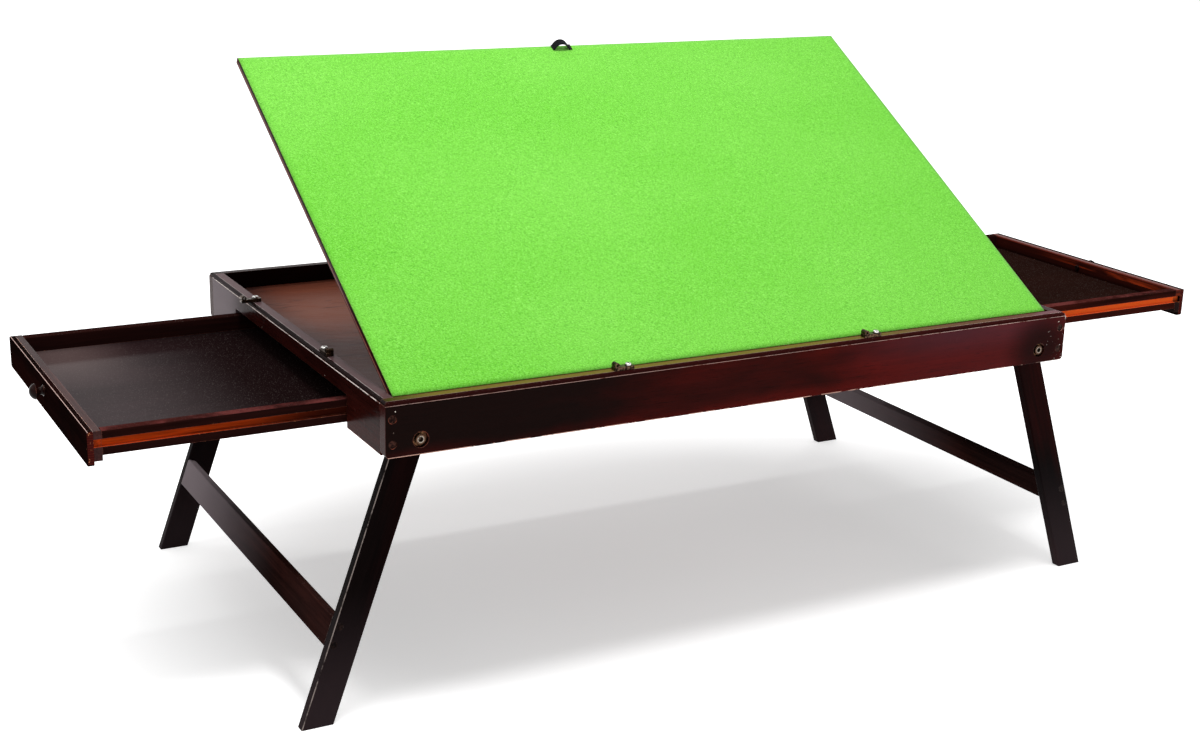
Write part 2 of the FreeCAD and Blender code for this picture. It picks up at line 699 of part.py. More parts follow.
def board_felt():
    """Felt glued over the top of the board."""
    low = BOARD_UNDERSIDE + BOARD_THICKNESS
    half = BOARD_HALF_LENGTH - FELT_INSET
    return box(-half, half, BOARD_FRONT + FELT_INSET, BOARD_BACK - FELT_INSET,
               low, low + FELT_THICKNESS)


def pull_tab():
    """Webbing loop over the middle of the board's back edge."""
    low = BOARD_UNDERSIDE + BOARD_THICKNESS + FELT_THICKNESS
    y = BOARD_BACK - FELT_INSET - TAB_WIDTH
    half = TAB_SPAN / 2
    inner = half - TAB_FOOT
    top = TAB_RISE
    points = [
        V(-half, y, low), V(-inner, y, low), V(inner, y, low), V(half, y, low),
        V(half, y, low + TAB_THICKNESS), V(-half, y, low + TAB_THICKNESS),
    ]
    arcs = {
        1: V(0, y, low + top - TAB_THICKNESS),
        4: V(0, y, low + top),
    }
    return face_of(points, arcs).extrude(V(0, TAB_WIDTH, 0))


def knuckles(width, centre, outer):
    """X spans of a three-knuckle barrel: the outer pair or the middle one."""
    third = width / 3
    if outer:
        return [(centre - width / 2, centre - third / 2 - FACE_GAP / 2),
                (centre + third / 2 + FACE_GAP / 2, centre + width / 2)]
    return [(centre - third / 2 + FACE_GAP / 2, centre + third / 2 - FACE_GAP / 2)]


def hinge_leaf(centre, y, outer, radius, bore, width, leaf):
    """One leaf of a butt hinge: its plate cut round the other leaf's knuckles,
    with its own knuckles rolled on."""
    clear = radius + FACE_GAP
    for low, high in knuckles(width, centre, not outer):
        leaf = leaf.cut(box(low - FACE_GAP, high + FACE_GAP, y - clear, y + clear,
                            HINGE_Z - clear, HINGE_Z + clear))
    for low, high in knuckles(width, centre, outer):
        leaf = leaf.fuse(rod(V(low, y, HINGE_Z), X_AXIS, radius, high - low))
    leaf = leaf.removeSplitter()
    return leaf.cut(rod(V(centre - width, y, HINGE_Z), X_AXIS, bore, 2 * width))


def hinge_pin(centre, y, radius, width):
    return rod(V(centre - width / 2 - PIN_TAIL, y, HINGE_Z), X_AXIS, radius, width + 2 * PIN_TAIL)


def rail_hinge_leaves():
    """Leaves on the front rail, with the hinge pins in their knuckles."""
    leaves = []
    for centre in HINGE_CENTRES:
        plate = box(centre - HINGE_WIDTH / 2, centre + HINGE_WIDTH / 2, -INNER_Y,
                    -INNER_Y + HINGE_LEAF_THICKNESS, HINGE_Z, HINGE_Z + HINGE_RAIL_LEAF)
        leaves.append(hinge_leaf(centre, HINGE_Y, True, HINGE_BARREL_RADIUS,
                                 HINGE_PIN_RADIUS + SEAT_GAP, HINGE_WIDTH, plate))
        leaves.append(hinge_pin(centre, HINGE_Y, HINGE_PIN_RADIUS, HINGE_WIDTH))
    return Part.makeCompound(leaves)


def board_hinge_leaves():
    """Leaves under the board, flat."""
    leaves = []
    for centre in HINGE_CENTRES:
        plate = box(centre - HINGE_WIDTH / 2, centre + HINGE_WIDTH / 2, HINGE_Y,
                    HINGE_Y + HINGE_BOARD_LEAF,
                    BOARD_UNDERSIDE - HINGE_LEAF_THICKNESS, BOARD_UNDERSIDE)
        leaves.append(hinge_leaf(centre, HINGE_Y, False, HINGE_BARREL_RADIUS,
                                 HINGE_PIN_RADIUS + SHAFT_GAP, HINGE_WIDTH, plate))
    return Part.makeCompound(leaves)


# ---------------------------------------------------------------- prop
def prop_board_leaves():
    """Prop hinge leaves and pins under the board, pointing to its front, flat."""
    leaves = []
    for centre in PROP_LEAF_CENTRES:
        plate = box(centre - PROP_LEAF_WIDTH / 2, centre + PROP_LEAF_WIDTH / 2,
                    PROP_Y - PROP_LEAF_LENGTH, PROP_Y,
                    BOARD_UNDERSIDE - HINGE_LEAF_THICKNESS, BOARD_UNDERSIDE)
        leaves.append(hinge_leaf(centre, PROP_Y, True, PROP_BARREL_RADIUS,
                                 PROP_PIN_RADIUS + SEAT_GAP, PROP_LEAF_WIDTH, plate))
        leaves.append(hinge_pin(centre, PROP_Y, PROP_PIN_RADIUS, PROP_LEAF_WIDTH))
    return Part.makeCompound(leaves)


def prop_leaf_plate(centre):
    return box(centre - PROP_LEAF_WIDTH / 2, centre + PROP_LEAF_WIDTH / 2,
               PROP_Y, PROP_Y + PROP_LEAF_LENGTH, PROP_TOP - HINGE_LEAF_THICKNESS, PROP_TOP)


def prop_leaves():
    """Prop hinge leaves let into the prop's head bar, folded flat."""
    leaves = []
    for centre in PROP_LEAF_CENTRES:
        leaves.append(hinge_leaf(centre, PROP_Y, False, PROP_BARREL_RADIUS,
                                 PROP_PIN_RADIUS + SHAFT_GAP, PROP_LEAF_WIDTH,
                                 prop_leaf_plate(centre)))
    return Part.makeCompound(leaves)


def prop_head_bar():
    inner = PROP_HALF_WIDTH - PROP_ARM_WIDTH / 2
    start = PROP_Y + PROP_HINGE_OFFSET
    bar = box(-inner, inner, start, start + PROP_BAR_WIDTH,
              PROP_TOP - PROP_THICKNESS, PROP_TOP)
    for centre in PROP_LEAF_CENTRES:
        bar = bar.cut(prop_leaf_plate(centre))
    return bar


def prop_arm():
    """Left arm of the prop, folded flat, round at its foot."""
    start = PROP_Y + PROP_HINGE_OFFSET
    half = PROP_THICKNESS / 2
    x = -PROP_HALF_WIDTH - PROP_ARM_WIDTH / 2
    points = [V(x, start, PROP_CENTRE_Z - half), V(x, FOOT_Y, PROP_CENTRE_Z - half),
              V(x, FOOT_Y, PROP_CENTRE_Z + half), V(x, start, PROP_CENTRE_Z + half)]
    arm = face_of(points, {1: V(x, FOOT_Y + half, PROP_CENTRE_Z)})
    arm = arm.extrude(V(PROP_ARM_WIDTH, 0, 0))
    return arm.cut(foot_rod(SEAT_GAP))


def foot_rod(gap):
    """Steel rod across the feet of the prop's arms."""
    half = PROP_HALF_WIDTH + PROP_ARM_WIDTH / 2
    return rod(V(-half, FOOT_Y, PROP_CENTRE_Z), X_AXIS, FOOT_ROD_RADIUS + gap, 2 * half)


def notch_places():
    return [HINGE_Y + 2 * PROP_REACH * math.cos(math.radians(tilt)) for tilt in NOTCH_TILTS]


def rest_strips():
    """Notched strips on the tray floor, a notch for each tilt of the board."""
    places = notch_places()
    strip = box(-STRIP_CENTRE - STRIP_WIDTH / 2, -STRIP_CENTRE + STRIP_WIDTH / 2,
                min(places) - STRIP_MARGIN, max(places) + STRIP_MARGIN, TRAY_TOP, STRIP_TOP)
    for y in places:
        strip = strip.cut(rod(V(-STRIP_CENTRE - STRIP_WIDTH, y,
                                STRIP_TOP - NOTCH_DEPTH + NOTCH_RADIUS),
                              X_AXIS, NOTCH_RADIUS, 2 * STRIP_WIDTH))
    return Part.makeCompound([strip, mirrored_x(strip)])


# ---------------------------------------------------------------- turn buttons
def button_screw_bore(top):
    return rod(top, -Z_AXIS, BUTTON_SCREW_RADIUS + SHAFT_GAP, BUTTON_SCREW_DEPTH)


def turn_button():
    """Pressed turn button about the origin, its finger towards -X: a plate with
    its edges turned down to the rim, rolled up at the finger's end."""
    half = BUTTON_WIDTH / 2
    under = SPACER_RING_HEIGHT + FACE_GAP
    top = under + BUTTON_THICKNESS
    t = BUTTON_THICKNESS
    body = box(-BUTTON_REACH, BUTTON_TAIL, -half, half, FACE_GAP, top)
    body = round_edges(body, BUTTON_TAIL_ROUND,
                       lambda e: runs_along(e, Z_AXIS) and e.CenterOfMass.x > 0)
    body = round_edges(body, t / 2, lambda e: e.CenterOfMass.z > top - FINE_EDGE_REACH)
    hollow = box(t - BUTTON_REACH, BUTTON_TAIL - t, t - half, half - t, 0, under)
    curl_centre = V(BUTTON_CURL_RADIUS - BUTTON_REACH, -half,
                    top + BUTTON_CURL_RADIUS - BUTTON_CURL_LAP)
    curl = rod(curl_centre, Y_AXIS, BUTTON_CURL_RADIUS, BUTTON_WIDTH)
    bore = rod(curl_centre, Y_AXIS, BUTTON_CURL_BORE, BUTTON_WIDTH)
    shell = body.cut(hollow).fuse(curl).removeSplitter().cut(bore)
    return shell.cut(rod(V(0, 0, 0), Z_AXIS, BUTTON_SCREW_RADIUS + SHAFT_GAP, top))


def button_spacer():
    return ring(V(0, 0, 0), Z_AXIS, SPACER_RING_RADIUS, BUTTON_SCREW_RADIUS + SEAT_GAP,
                SPACER_RING_HEIGHT)


def button_screw():
    """Pan-head screw that the turn button swings on, with a cross recess."""
    under = SPACER_RING_HEIGHT + 2 * FACE_GAP + BUTTON_THICKNESS
    top = under + BUTTON_SCREW_HEAD_HEIGHT
    depth = BUTTON_SCREW_DEPTH - SCREW_TIP_GAP
    shank = rod(V(0, 0, -depth), Z_AXIS, BUTTON_SCREW_RADIUS, depth + under)
    head = rod(V(0, 0, under), Z_AXIS, BUTTON_SCREW_HEAD_RADIUS, BUTTON_SCREW_HEAD_HEIGHT)
    head = round_edges(head, BUTTON_SCREW_HEAD_ROUND,
                       lambda e: e.CenterOfMass.z > top - FINE_EDGE_REACH)
    for length, width in ((BUTTON_RECESS_LENGTH, BUTTON_RECESS_WIDTH),
                          (BUTTON_RECESS_WIDTH, BUTTON_RECESS_LENGTH)):
        head = head.cut(box(-length / 2, length / 2, -width / 2, width / 2,
                            top - BUTTON_RECESS_DEPTH, top + CUT_MARGIN))
    return head.fuse(shank).removeSplitter()


def button_places():
    """Name, screw place on the rim and heading of each turn button's finger."""
    middle_x = END_X - RAIL_THICKNESS / 2
    middle_y = FACE_Y - RAIL_THICKNESS / 2
    front_y, back_y = END_BUTTON_PLACES
    left_x, right_x = LONG_BUTTON_PLACES
    return [
        ("left_front_button", -middle_x, front_y, 90),
        ("left_back_button", -middle_x, back_y, 0),
        ("right_front_button", middle_x, front_y, 90),
        ("right_back_button", middle_x, back_y, 180),
        ("front_left_button", left_x, -middle_y, 0),
        ("front_right_button", right_x, -middle_y, 0),
        ("back_left_button", left_x, middle_y, 0),
        ("back_right_button", right_x, middle_y, 180),
    ]


def on_rim(shape, x, y, heading):
    """Set a fitting made about the origin on the rim."""
    copy = shape.copy()
    copy.rotate(V(0, 0, 0), Z_AXIS, heading)
    copy.translate(V(x, y, RIM_HEIGHT))
    return copy


# ---------------------------------------------------------------- assembly
def all_nodes():
    """Every node of the table: name to shape, about the case's own centre."""
    envelope = case_envelope()
    front = front_rail(envelope)
    left_end = end_rail(envelope)
    wall = bay_wall()
    nodes = {
        "front_rail": front,
        "back_rail": mirrored_y(front),
        "left_end_rail": left_end,
        "right_end_rail": mirrored_x(left_end),
        "tray_floor": floor_panel(),
        "front_bay_wall": wall,
        "back_bay_wall": mirrored_y(wall),
        "centre_divider": centre_divider(),
        "drawer_runners": drawer_runners(),
        "corner_screws": corner_screws(),
        "rest_strips": rest_strips(),
        "rail_hinge_leaves": rail_hinge_leaves(),
        "leg_bolts": four_places(leg_bolt()),
        "leg_washers": four_places(leg_washers()),
        "leg_nuts": four_places(leg_nut()),
        "leg_spacers": four_places(leg_spacer()),
    }

    front_leg = leg()
    bar = stretcher()
    screws = stretcher_screws()
    for hand, place in (("left", lambda s: s), ("right", mirrored_x)):
        nodes[hand + "_front_leg"] = place(front_leg)
        nodes[hand + "_back_leg"] = place(mirrored_y(front_leg))
        nodes[hand + "_stretcher"] = place(bar)
        nodes[hand + "_stretcher_screws"] = place(screws)

    for hand, pull in (("left", LEFT_PULL), ("right", RIGHT_PULL)):
        for name, shape in drawer_pieces().items():
            shape.translate(V(-pull, 0, 0))
            nodes[hand + "_drawer_" + name] = shape if hand == "left" else mirrored_x(shape)

    nodes["board_panel"] = with_board(board_panel())
    nodes["board_felt"] = with_board(board_felt())
    nodes["pull_tab"] = with_board(pull_tab())
    nodes["board_hinge_leaves"] = with_board(board_hinge_leaves())
    nodes["prop_board_leaves"] = with_board(prop_board_leaves())
    nodes["prop_leaves"] = with_prop(prop_leaves())
    nodes["prop_head_bar"] = with_prop(prop_head_bar())
    nodes["prop_left_arm"] = with_prop(prop_arm())
    nodes["prop_right_arm"] = with_prop(mirrored_x(prop_arm()))
    nodes["prop_foot_rod"] = with_prop(foot_rod(0))

    spacers = []
    screws = []
    for name, x, y, heading in button_places():
        nodes[name] = on_rim(turn_button(), x, y, heading)
        spacers.append(on_rim(button_spacer(), x, y, heading))
        screws.append(on_rim(button_screw(), x, y, heading))
    nodes["button_spacers"] = Part.makeCompound(spacers)
    nodes["button_screws"] = Part.makeCompound(screws)
    return nodes


def main():
    os.makedirs("parts", exist_ok=True)
    nodes = all_nodes()
    for name, shape in nodes.items():
        shape.translate(V(CASE_CENTRE_X, 0, 0))
        shape.exportStep("parts/" + name + ".step")
    print(len(nodes), "nodes")


main()
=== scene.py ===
# %% [markdown]
# # A folding puzzle table, finished in Blender
# The table arrives here as bare solids: rails, legs, drawers, a tilting board and its fittings.
# Solids already hold every size, so this lesson never reshapes them. It adds what a finisher adds:
# stained lacquer, felt, webbing, brads and tarnish, and then a quiet studio to look at them in.

# %% Load the bare table
import math

import bmesh
import bpy
from mathutils import Matrix, Vector


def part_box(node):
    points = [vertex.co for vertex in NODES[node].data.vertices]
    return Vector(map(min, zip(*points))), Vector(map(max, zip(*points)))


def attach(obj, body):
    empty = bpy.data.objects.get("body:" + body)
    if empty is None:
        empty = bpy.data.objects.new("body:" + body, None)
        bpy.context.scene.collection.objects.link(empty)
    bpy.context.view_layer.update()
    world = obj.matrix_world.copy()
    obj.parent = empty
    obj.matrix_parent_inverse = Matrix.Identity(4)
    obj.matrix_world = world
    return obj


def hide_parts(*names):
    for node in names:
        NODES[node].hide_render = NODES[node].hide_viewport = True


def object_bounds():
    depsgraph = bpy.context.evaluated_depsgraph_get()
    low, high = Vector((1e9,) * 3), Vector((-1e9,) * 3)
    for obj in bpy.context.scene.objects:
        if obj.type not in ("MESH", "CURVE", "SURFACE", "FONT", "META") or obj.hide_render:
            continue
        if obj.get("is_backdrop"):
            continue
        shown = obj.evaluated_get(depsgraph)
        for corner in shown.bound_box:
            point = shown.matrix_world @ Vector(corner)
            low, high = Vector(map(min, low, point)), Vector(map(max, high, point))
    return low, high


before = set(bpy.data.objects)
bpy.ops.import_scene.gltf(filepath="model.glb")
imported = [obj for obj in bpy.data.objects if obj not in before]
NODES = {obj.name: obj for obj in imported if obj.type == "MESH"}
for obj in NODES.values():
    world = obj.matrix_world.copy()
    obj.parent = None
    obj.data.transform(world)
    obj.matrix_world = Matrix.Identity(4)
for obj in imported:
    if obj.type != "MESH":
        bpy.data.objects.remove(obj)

MM = 0.001
CAD_BOX = [list(corner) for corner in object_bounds()]
X_AXIS = Vector((1, 0, 0))
Y_AXIS = Vector((0, 1, 0))
Z_AXIS = Vector((0, 0, 1))


def stand(name, data):
    """A new object of the scene that shows a mesh, a curve, a lamp or a camera."""
    thing = bpy.data.objects.new(name, data)
    bpy.context.scene.collection.objects.link(thing)
    return thing


def reach(node, axis):
    """How far a solid reaches along a direction: (lowest, highest)."""
    spots = [vertex.co.dot(axis) for vertex in NODES[node].data.vertices]
    return min(spots), max(spots)


TABLE_SIZE = [round(high - low, 3) for low, high in zip(*CAD_BOX)]
print("the bare table measures", TABLE_SIZE, "metres and has", len(NODES), "solids")

# %% [markdown]
# ## The camera
# A table reads best from a little above its own top, turned so that the front and one end both show.
# The camera could be aimed with a Track To constraint, but a yaw, a pitch and a roll worked out as
# three plain directions keep the view exact, and each can be changed by itself.

# %% Stand the camera
CASE_MIDDLE = (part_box("left_end_rail")[0].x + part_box("right_end_rail")[1].x) / 2
CAMERA_PLACE = Vector((CASE_MIDDLE - 1.02744, -1.81124, 0.86238))
CAMERA_YAW = math.radians(28.691)
CAMERA_PITCH = math.radians(-16.674)
CAMERA_ROLL = math.radians(1.407)
CAMERA_LENS = 53.99
CAMERA_SENSOR = 36
CAMERA_REACH = 40


def stand_camera():
    """The camera at its place, aimed by yaw, pitch and roll."""
    level = math.cos(CAMERA_PITCH)
    ahead = Vector((math.sin(CAMERA_YAW) * level, math.cos(CAMERA_YAW) * level, math.sin(CAMERA_PITCH)))
    side = ahead.cross(Z_AXIS).normalized()
    over = side.cross(ahead)
    right = side * math.cos(CAMERA_ROLL) + over * math.sin(CAMERA_ROLL)
    up = over * math.cos(CAMERA_ROLL) - side * math.sin(CAMERA_ROLL)
    camera = stand("camera", bpy.data.cameras.new("camera"))
    turn = Matrix((right, up, -ahead)).transposed().to_4x4()
    camera.matrix_world = Matrix.Translation(CAMERA_PLACE) @ turn
    camera.data.sensor_fit = "HORIZONTAL"
    camera.data.sensor_width = CAMERA_SENSOR
    camera.data.lens = CAMERA_LENS
    camera.data.clip_end = CAMERA_REACH
    bpy.context.scene.camera = camera
    return camera


print("camera stands at", [round(value, 3) for value in stand_camera().location])

# %% [markdown]
# ## Nodes with less typing
# Every material below is a small graph of nodes. Building a graph by hand takes three lines per node,
# so one helper adds a node, sets its options and fills or links its sockets. It gives back wires, which
# can be added, multiplied and compared like numbers, each time through one more Math node. Another
# helper makes a node group with named inputs and outputs, so that one effect can serve many materials.

# %% Wires between nodes
class Wire:
    """A value on its way between two nodes. Sums written with wires add Math nodes to their graph."""

    def __init__(self, socket):
        self.socket = socket
        self.tree = socket.id_data

    def __getattr__(self, axis):
        """The x, y or z of a place, split off once by a Separate XYZ node."""
        if axis not in ("x", "y", "z"):
            raise AttributeError(axis)
        parts = add(self.tree, "ShaderNodeSeparateXYZ", {0: self})
        self.x, self.y, self.z = parts[0], parts[1], parts[2]
        return getattr(self, axis)

    def __add__(self, other):
        return sums("ADD", self, other)

    def __sub__(self, other):
        return sums("SUBTRACT", self, other)

    def __rsub__(self, other):
        return sums("SUBTRACT", other, self)

    def __mul__(self, other):
        return sums("MULTIPLY", self, other)

    def __truediv__(self, other):
        return sums("DIVIDE", self, other)

    def __lt__(self, other):
        return sums("LESS_THAN", self, other)

    def __gt__(self, other):
        return sums("GREATER_THAN", self, other)

    def __abs__(self):
        return sums("ABSOLUTE", self)

# %% Fill and add nodes
def paint(red, green, blue):
    """A colour written as on a paint chart, 0 to 255, turned to Blender's linear light."""
    parts = []
    for part in (red, green, blue):
        share = part / 255
        parts.append(share / 12.92 if share <= 0.04045 else ((share + 0.055) / 1.055) ** 2.4)
    return (*parts, 1.0)


def fill(node, inputs):
    """Links wires to a node's sockets and writes plain values in them, three numbers as a paint."""
    for name, value in inputs.items():
        socket = node.inputs[name]
        if isinstance(value, Wire):
            value.tree.links.new(value.socket, socket)
        else:
            chart = socket.type == "RGBA" and len(value) == 3
            socket.default_value = paint(*value) if chart else value


def add(tree, kind, inputs=None, **options):
    """One new node with its options set and its sockets filled, given back as its outgoing wires."""
    node = tree.nodes.new(kind)
    for name, value in options.items():
        setattr(node, name, value)
    fill(node, inputs or {})
    wires = [Wire(socket) for socket in node.outputs]
    return {**dict(enumerate(wires)), **{wire.socket.name: wire for wire in wires}}

# %% One helper for each kind of node
def sums(operation, *values, clamp=False):
    """The result of one Math node. One of its values at least is a wire."""
    tree = next(value.tree for value in values if isinstance(value, Wire))
    return add(tree, "ShaderNodeMath", dict(enumerate(values)), operation=operation, use_clamp=clamp)[0]


def vectors(operation, first, second):
    """The number that one Vector Math node makes of two places or directions."""
    return add(first.tree, "ShaderNodeVectorMath", {0: first, 1: second}, operation=operation)["Value"]


def within(value, middle, half):
    """1 where a value is within half of a middle, 0 elsewhere."""
    return sums("COMPARE", value, middle, half)


def noise(place, scale, detail, roughness, distortion=0.0):
    """The grey of a Noise texture. Three scales stretch it, so that it runs finer across than along."""
    if isinstance(scale, tuple):
        place = add(place.tree, "ShaderNodeMapping", {"Vector": place, "Scale": scale})[0]
        scale = 1.0
    inputs = {"Vector": place, "Scale": scale, "Detail": detail, "Roughness": roughness,
              "Distortion": distortion}
    return add(place.tree, "ShaderNodeTexNoise", inputs)["Fac"]


def turned(place, turn):
    """A place turned about X, Y and Z."""
    return add(place.tree, "ShaderNodeMapping", {"Vector": place, "Rotation": turn})[0]


def spread(value, low, high, out_low=0.0, out_high=1.0):
    """A grey value spread from one range to another and held inside it."""
    inputs = {"Value": value, "From Min": low, "From Max": high, "To Min": out_low, "To Max": out_high}
    return add(value.tree, "ShaderNodeMapRange", inputs, interpolation_type="SMOOTHSTEP")[0]


def bump(height, depth, strength, normal=None):
    """The normal of a surface with a fine relief, on top of a softened normal if one is given."""
    inputs = {"Height": height, "Distance": depth, "Strength": strength}
    if normal:
        inputs["Normal"] = normal
    return add(height.tree, "ShaderNodeBump", inputs)[0]


def blend(amount, first, second):
    """Two colours mixed by an amount."""
    inputs = {0: amount, 6: first, 7: second}
    return add(amount.tree, "ShaderNodeMix", inputs, data_type="RGBA")[2]

# %% Helper for node groups
VECTOR, COLOUR, NUMBER = "NodeSocketVector", "NodeSocketColor", "NodeSocketFloat"


def node_group(name, effect, inputs, outputs):
    """A node group with named sockets. The effect turns its incoming wires into its results."""
    tree = bpy.data.node_groups.new(name, "ShaderNodeTree")
    for label, value in inputs.items():
        kind = {tuple: COLOUR, float: NUMBER}.get(type(value), VECTOR)
        socket = tree.interface.new_socket(label, in_out="INPUT", socket_type=kind)
        if value is not None:
            socket.default_value = paint(*value) if isinstance(value, tuple) else value
    for label, kind in outputs.items():
        tree.interface.new_socket(label, in_out="OUTPUT", socket_type=kind)
    given = add(tree, "NodeGroupInput")
    fill(tree.nodes.new("NodeGroupOutput"), effect(given))
    print("node group", name, "has", len(tree.nodes), "nodes")
    return tree


def place_group(group, inputs):
    """A node group placed in a material, with that material's own values."""
    return add(inputs["Place"].tree, "ShaderNodeGroup", inputs, node_tree=group)

# %% [markdown]
# ## Stained grain
# The rails, legs and drawers are a pale open-grained wood under a dark red stain. Stain gathers in the
# pores and in the soft bands, so the darkest lines run with the grain and the red shows between them.
# A wood photograph would have to be unwrapped on each piece. Noise that is stretched along the grain
# runs through the solid itself, so a mitre or a groove cuts across it as it does in real timber.

# %% Node group: stained grain
def grain_effect(given):
    """Bands, streaks and pores of stained wood. Place has its X along the grain."""
    place = given["Place"]
    bands = noise(place, (2.2, 34, 34), 5, 0.6, 0.5)
    streaks = noise(place, (9, 260, 260), 4, 0.62, 0.25)
    pores = noise(place, (70, 1500, 1500), 2, 0.5)
    cloud = noise(place, (4.5, 15, 15), 3, 0.55, 0.3)
    settled = (0.5 - cloud) * given["Calm"]
    cloud = cloud + settled
    lines = bands * 0.55 + streaks * 0.45
    dark = spread(lines, 0.38, 0.62)
    shade = (1.0 - dark) * given["Streak"]
    glow = spread(cloud + given["Glow bias"], 0.42, 0.72)
    glow = sums("MULTIPLY", glow, given["Glow amount"], clamp=True)
    colour = blend(glow, given["Body"], given["Glow"])
    colour = blend(shade, colour, given["Deep"])
    open_pores = spread(pores, 0.6, 0.72)
    colour = blend(open_pores * 0.55, colour, given["Deep"])
    height = streaks * 0.4 - open_pores
    return {"Colour": colour, "Streaks": dark, "Height": height}


GRAIN = node_group("Stained grain", grain_effect, {
    "Place": None, "Deep": (14, 7, 5), "Body": (60, 24, 17), "Glow": (120, 45, 22), "Glow amount": 0.5,
    "Streak": 0.6, "Glow bias": 0.0, "Calm": 0.0}, {"Colour": COLOUR, "Streaks": NUMBER, "Height": NUMBER})

# %% [markdown]
# ## Worn arrises
# Lacquer is thinnest on an arris, the line where two faces meet. Handling rubs it through there first,
# and the odd knock leaves a pale nick. A Bevel node looks a little way round each point for another
# face. Where its answer differs from the real normal an edge is near, and noise breaks that line up.
# The same node also rounds the arris for the light, which gives the bright hairline of real joinery.

# %% Node group: worn arris
def arris_effect(given):
    """A rounded normal, a rubbed line and scattered nicks along edges."""
    place = given["Place"]
    soft = add(place.tree, "ShaderNodeBevel", {"Radius": given["Reach"]}, samples=6)[0]
    true = add(place.tree, "ShaderNodeNewGeometry")["Normal"]
    match = vectors("DOT_PRODUCT", soft, true)
    edge = spread(match, 0.995, 0.93)
    broken = noise(place, 160, 5, 0.65)
    patch = noise(place, 11, 2, 0.5)
    limit = 0.8 - given["Rub"] * 0.42
    worn = broken * 0.55 + patch * 0.45
    rubbed = spread(worn - limit, -0.04, 0.06) * edge
    chips = noise(place, 310, 2, 0.5)
    rare = 0.79 - given["Nicks"] * 0.16
    nicked = spread(chips - rare, 0.0, 0.03) * spread(match, 0.998, 0.975)
    return {"Rubbed": rubbed, "Nicked": nicked, "Soft normal": soft}


ARRIS = node_group("Worn arris", arris_effect, {"Place": None, "Reach": 0.0008, "Rub": 0.5, "Nicks": 0.5}, {
    "Rubbed": NUMBER, "Nicked": NUMBER, "Soft normal": VECTOR})

# %% [markdown]
# ## Handling marks
# A lacquered table is never evenly shiny. Palms leave duller patches, wiping leaves faint arcs, and
# fine dust settles. None of that changes the colour much, so this group puts out a roughness change,
# a little dust and a scratch height, and every hard finish below takes its share of them.

# %% Node group: handling marks
def marks_effect(given):
    """Dull patches, wiped scratches and settled dust."""
    place = given["Place"]
    palms = noise(place, 7, 4, 0.6, 0.4)
    wiped = noise(turned(place, (0.3, 0.2, 0.6)), (12, 150, 40), 3, 0.6)
    fine = noise(turned(place, (0.2, 0.5, 0.35)), (25, 1600, 900), 1, 0.4)
    scratches = spread(fine, 0.7, 0.76)
    mix = palms * 0.6 + wiped * 0.4
    share = spread(mix, 0.36, 0.66)
    span = given["Dull"] - given["Smooth"]
    rough = given["Smooth"] + share * span
    rough = sums("ADD", rough, scratches * 0.12, clamp=True)
    upward = add(place.tree, "ShaderNodeNewGeometry")["Normal"].z
    specks = spread(noise(place, 900, 1, 0.5), 0.66, 0.72)
    dust = specks * spread(upward, 0.3, 0.9)
    return {"Roughness": rough, "Dust": dust, "Scratches": scratches}


MARKS = node_group("Handling marks", marks_effect, {"Place": None, "Smooth": 0.2, "Dull": 0.4}, {
    "Roughness": NUMBER, "Dust": NUMBER, "Scratches": NUMBER})

# %% [markdown]
# ## Which way the grain runs
# A joiner always lays the grain along a piece. The long direction of each solid can be read from the
# solid itself, so a sloping leg gets sloping grain with no angle typed in. The direction that most of a
# board's surface faces shows how it leans, and the longest edge of a leg shows how it slopes.

# %% Read a piece's own directions
def broad_normal(node):
    """The direction that most of a solid's surface faces."""
    areas = {}
    for face in NODES[node].data.polygons:
        normal = face.normal if face.normal.z >= -1e-4 else -face.normal
        key = tuple(round(part, 2) for part in normal)
        areas[key] = areas.get(key, Vector()) + normal * face.area
    return max(areas.values(), key=lambda total: total.length).normalized()


def long_direction(node):
    """The direction of a solid's longest straight edge."""
    mesh = NODES[node].data
    ends = [[mesh.vertices[index].co for index in edge.vertices] for edge in mesh.edges]
    return max((first - second for first, second in ends), key=lambda run: run.length).normalized()


BOARD_NORMAL = broad_normal("board_panel")
BOARD_UP = BOARD_NORMAL.cross(X_AXIS).normalized()
BOARD_TILT = math.atan2(BOARD_UP.z, BOARD_UP.y)
LEG_RUNS = [long_direction(f"{side}_front_leg") for side in ("left", "right")]
LEFT_LEG_ANGLE, RIGHT_LEG_ANGLE = [math.atan2(run.z, run.x) for run in LEG_RUNS]
print("board tilts", round(math.degrees(BOARD_TILT), 1), "degrees")
print("legs slope", round(math.degrees(LEFT_LEG_ANGLE), 1), "and", round(math.degrees(RIGHT_LEG_ANGLE), 1))

# %% [markdown]
# ## Lacquered wood
# One recipe makes every wooden finish: grain for the colour, worn arrises on top of it, and handling
# marks in the roughness. A low specular level with a soft roughness is right for a wiped lacquer. It
# stays almost black when looked at square on, and turns to a grey sheen at a low angle.

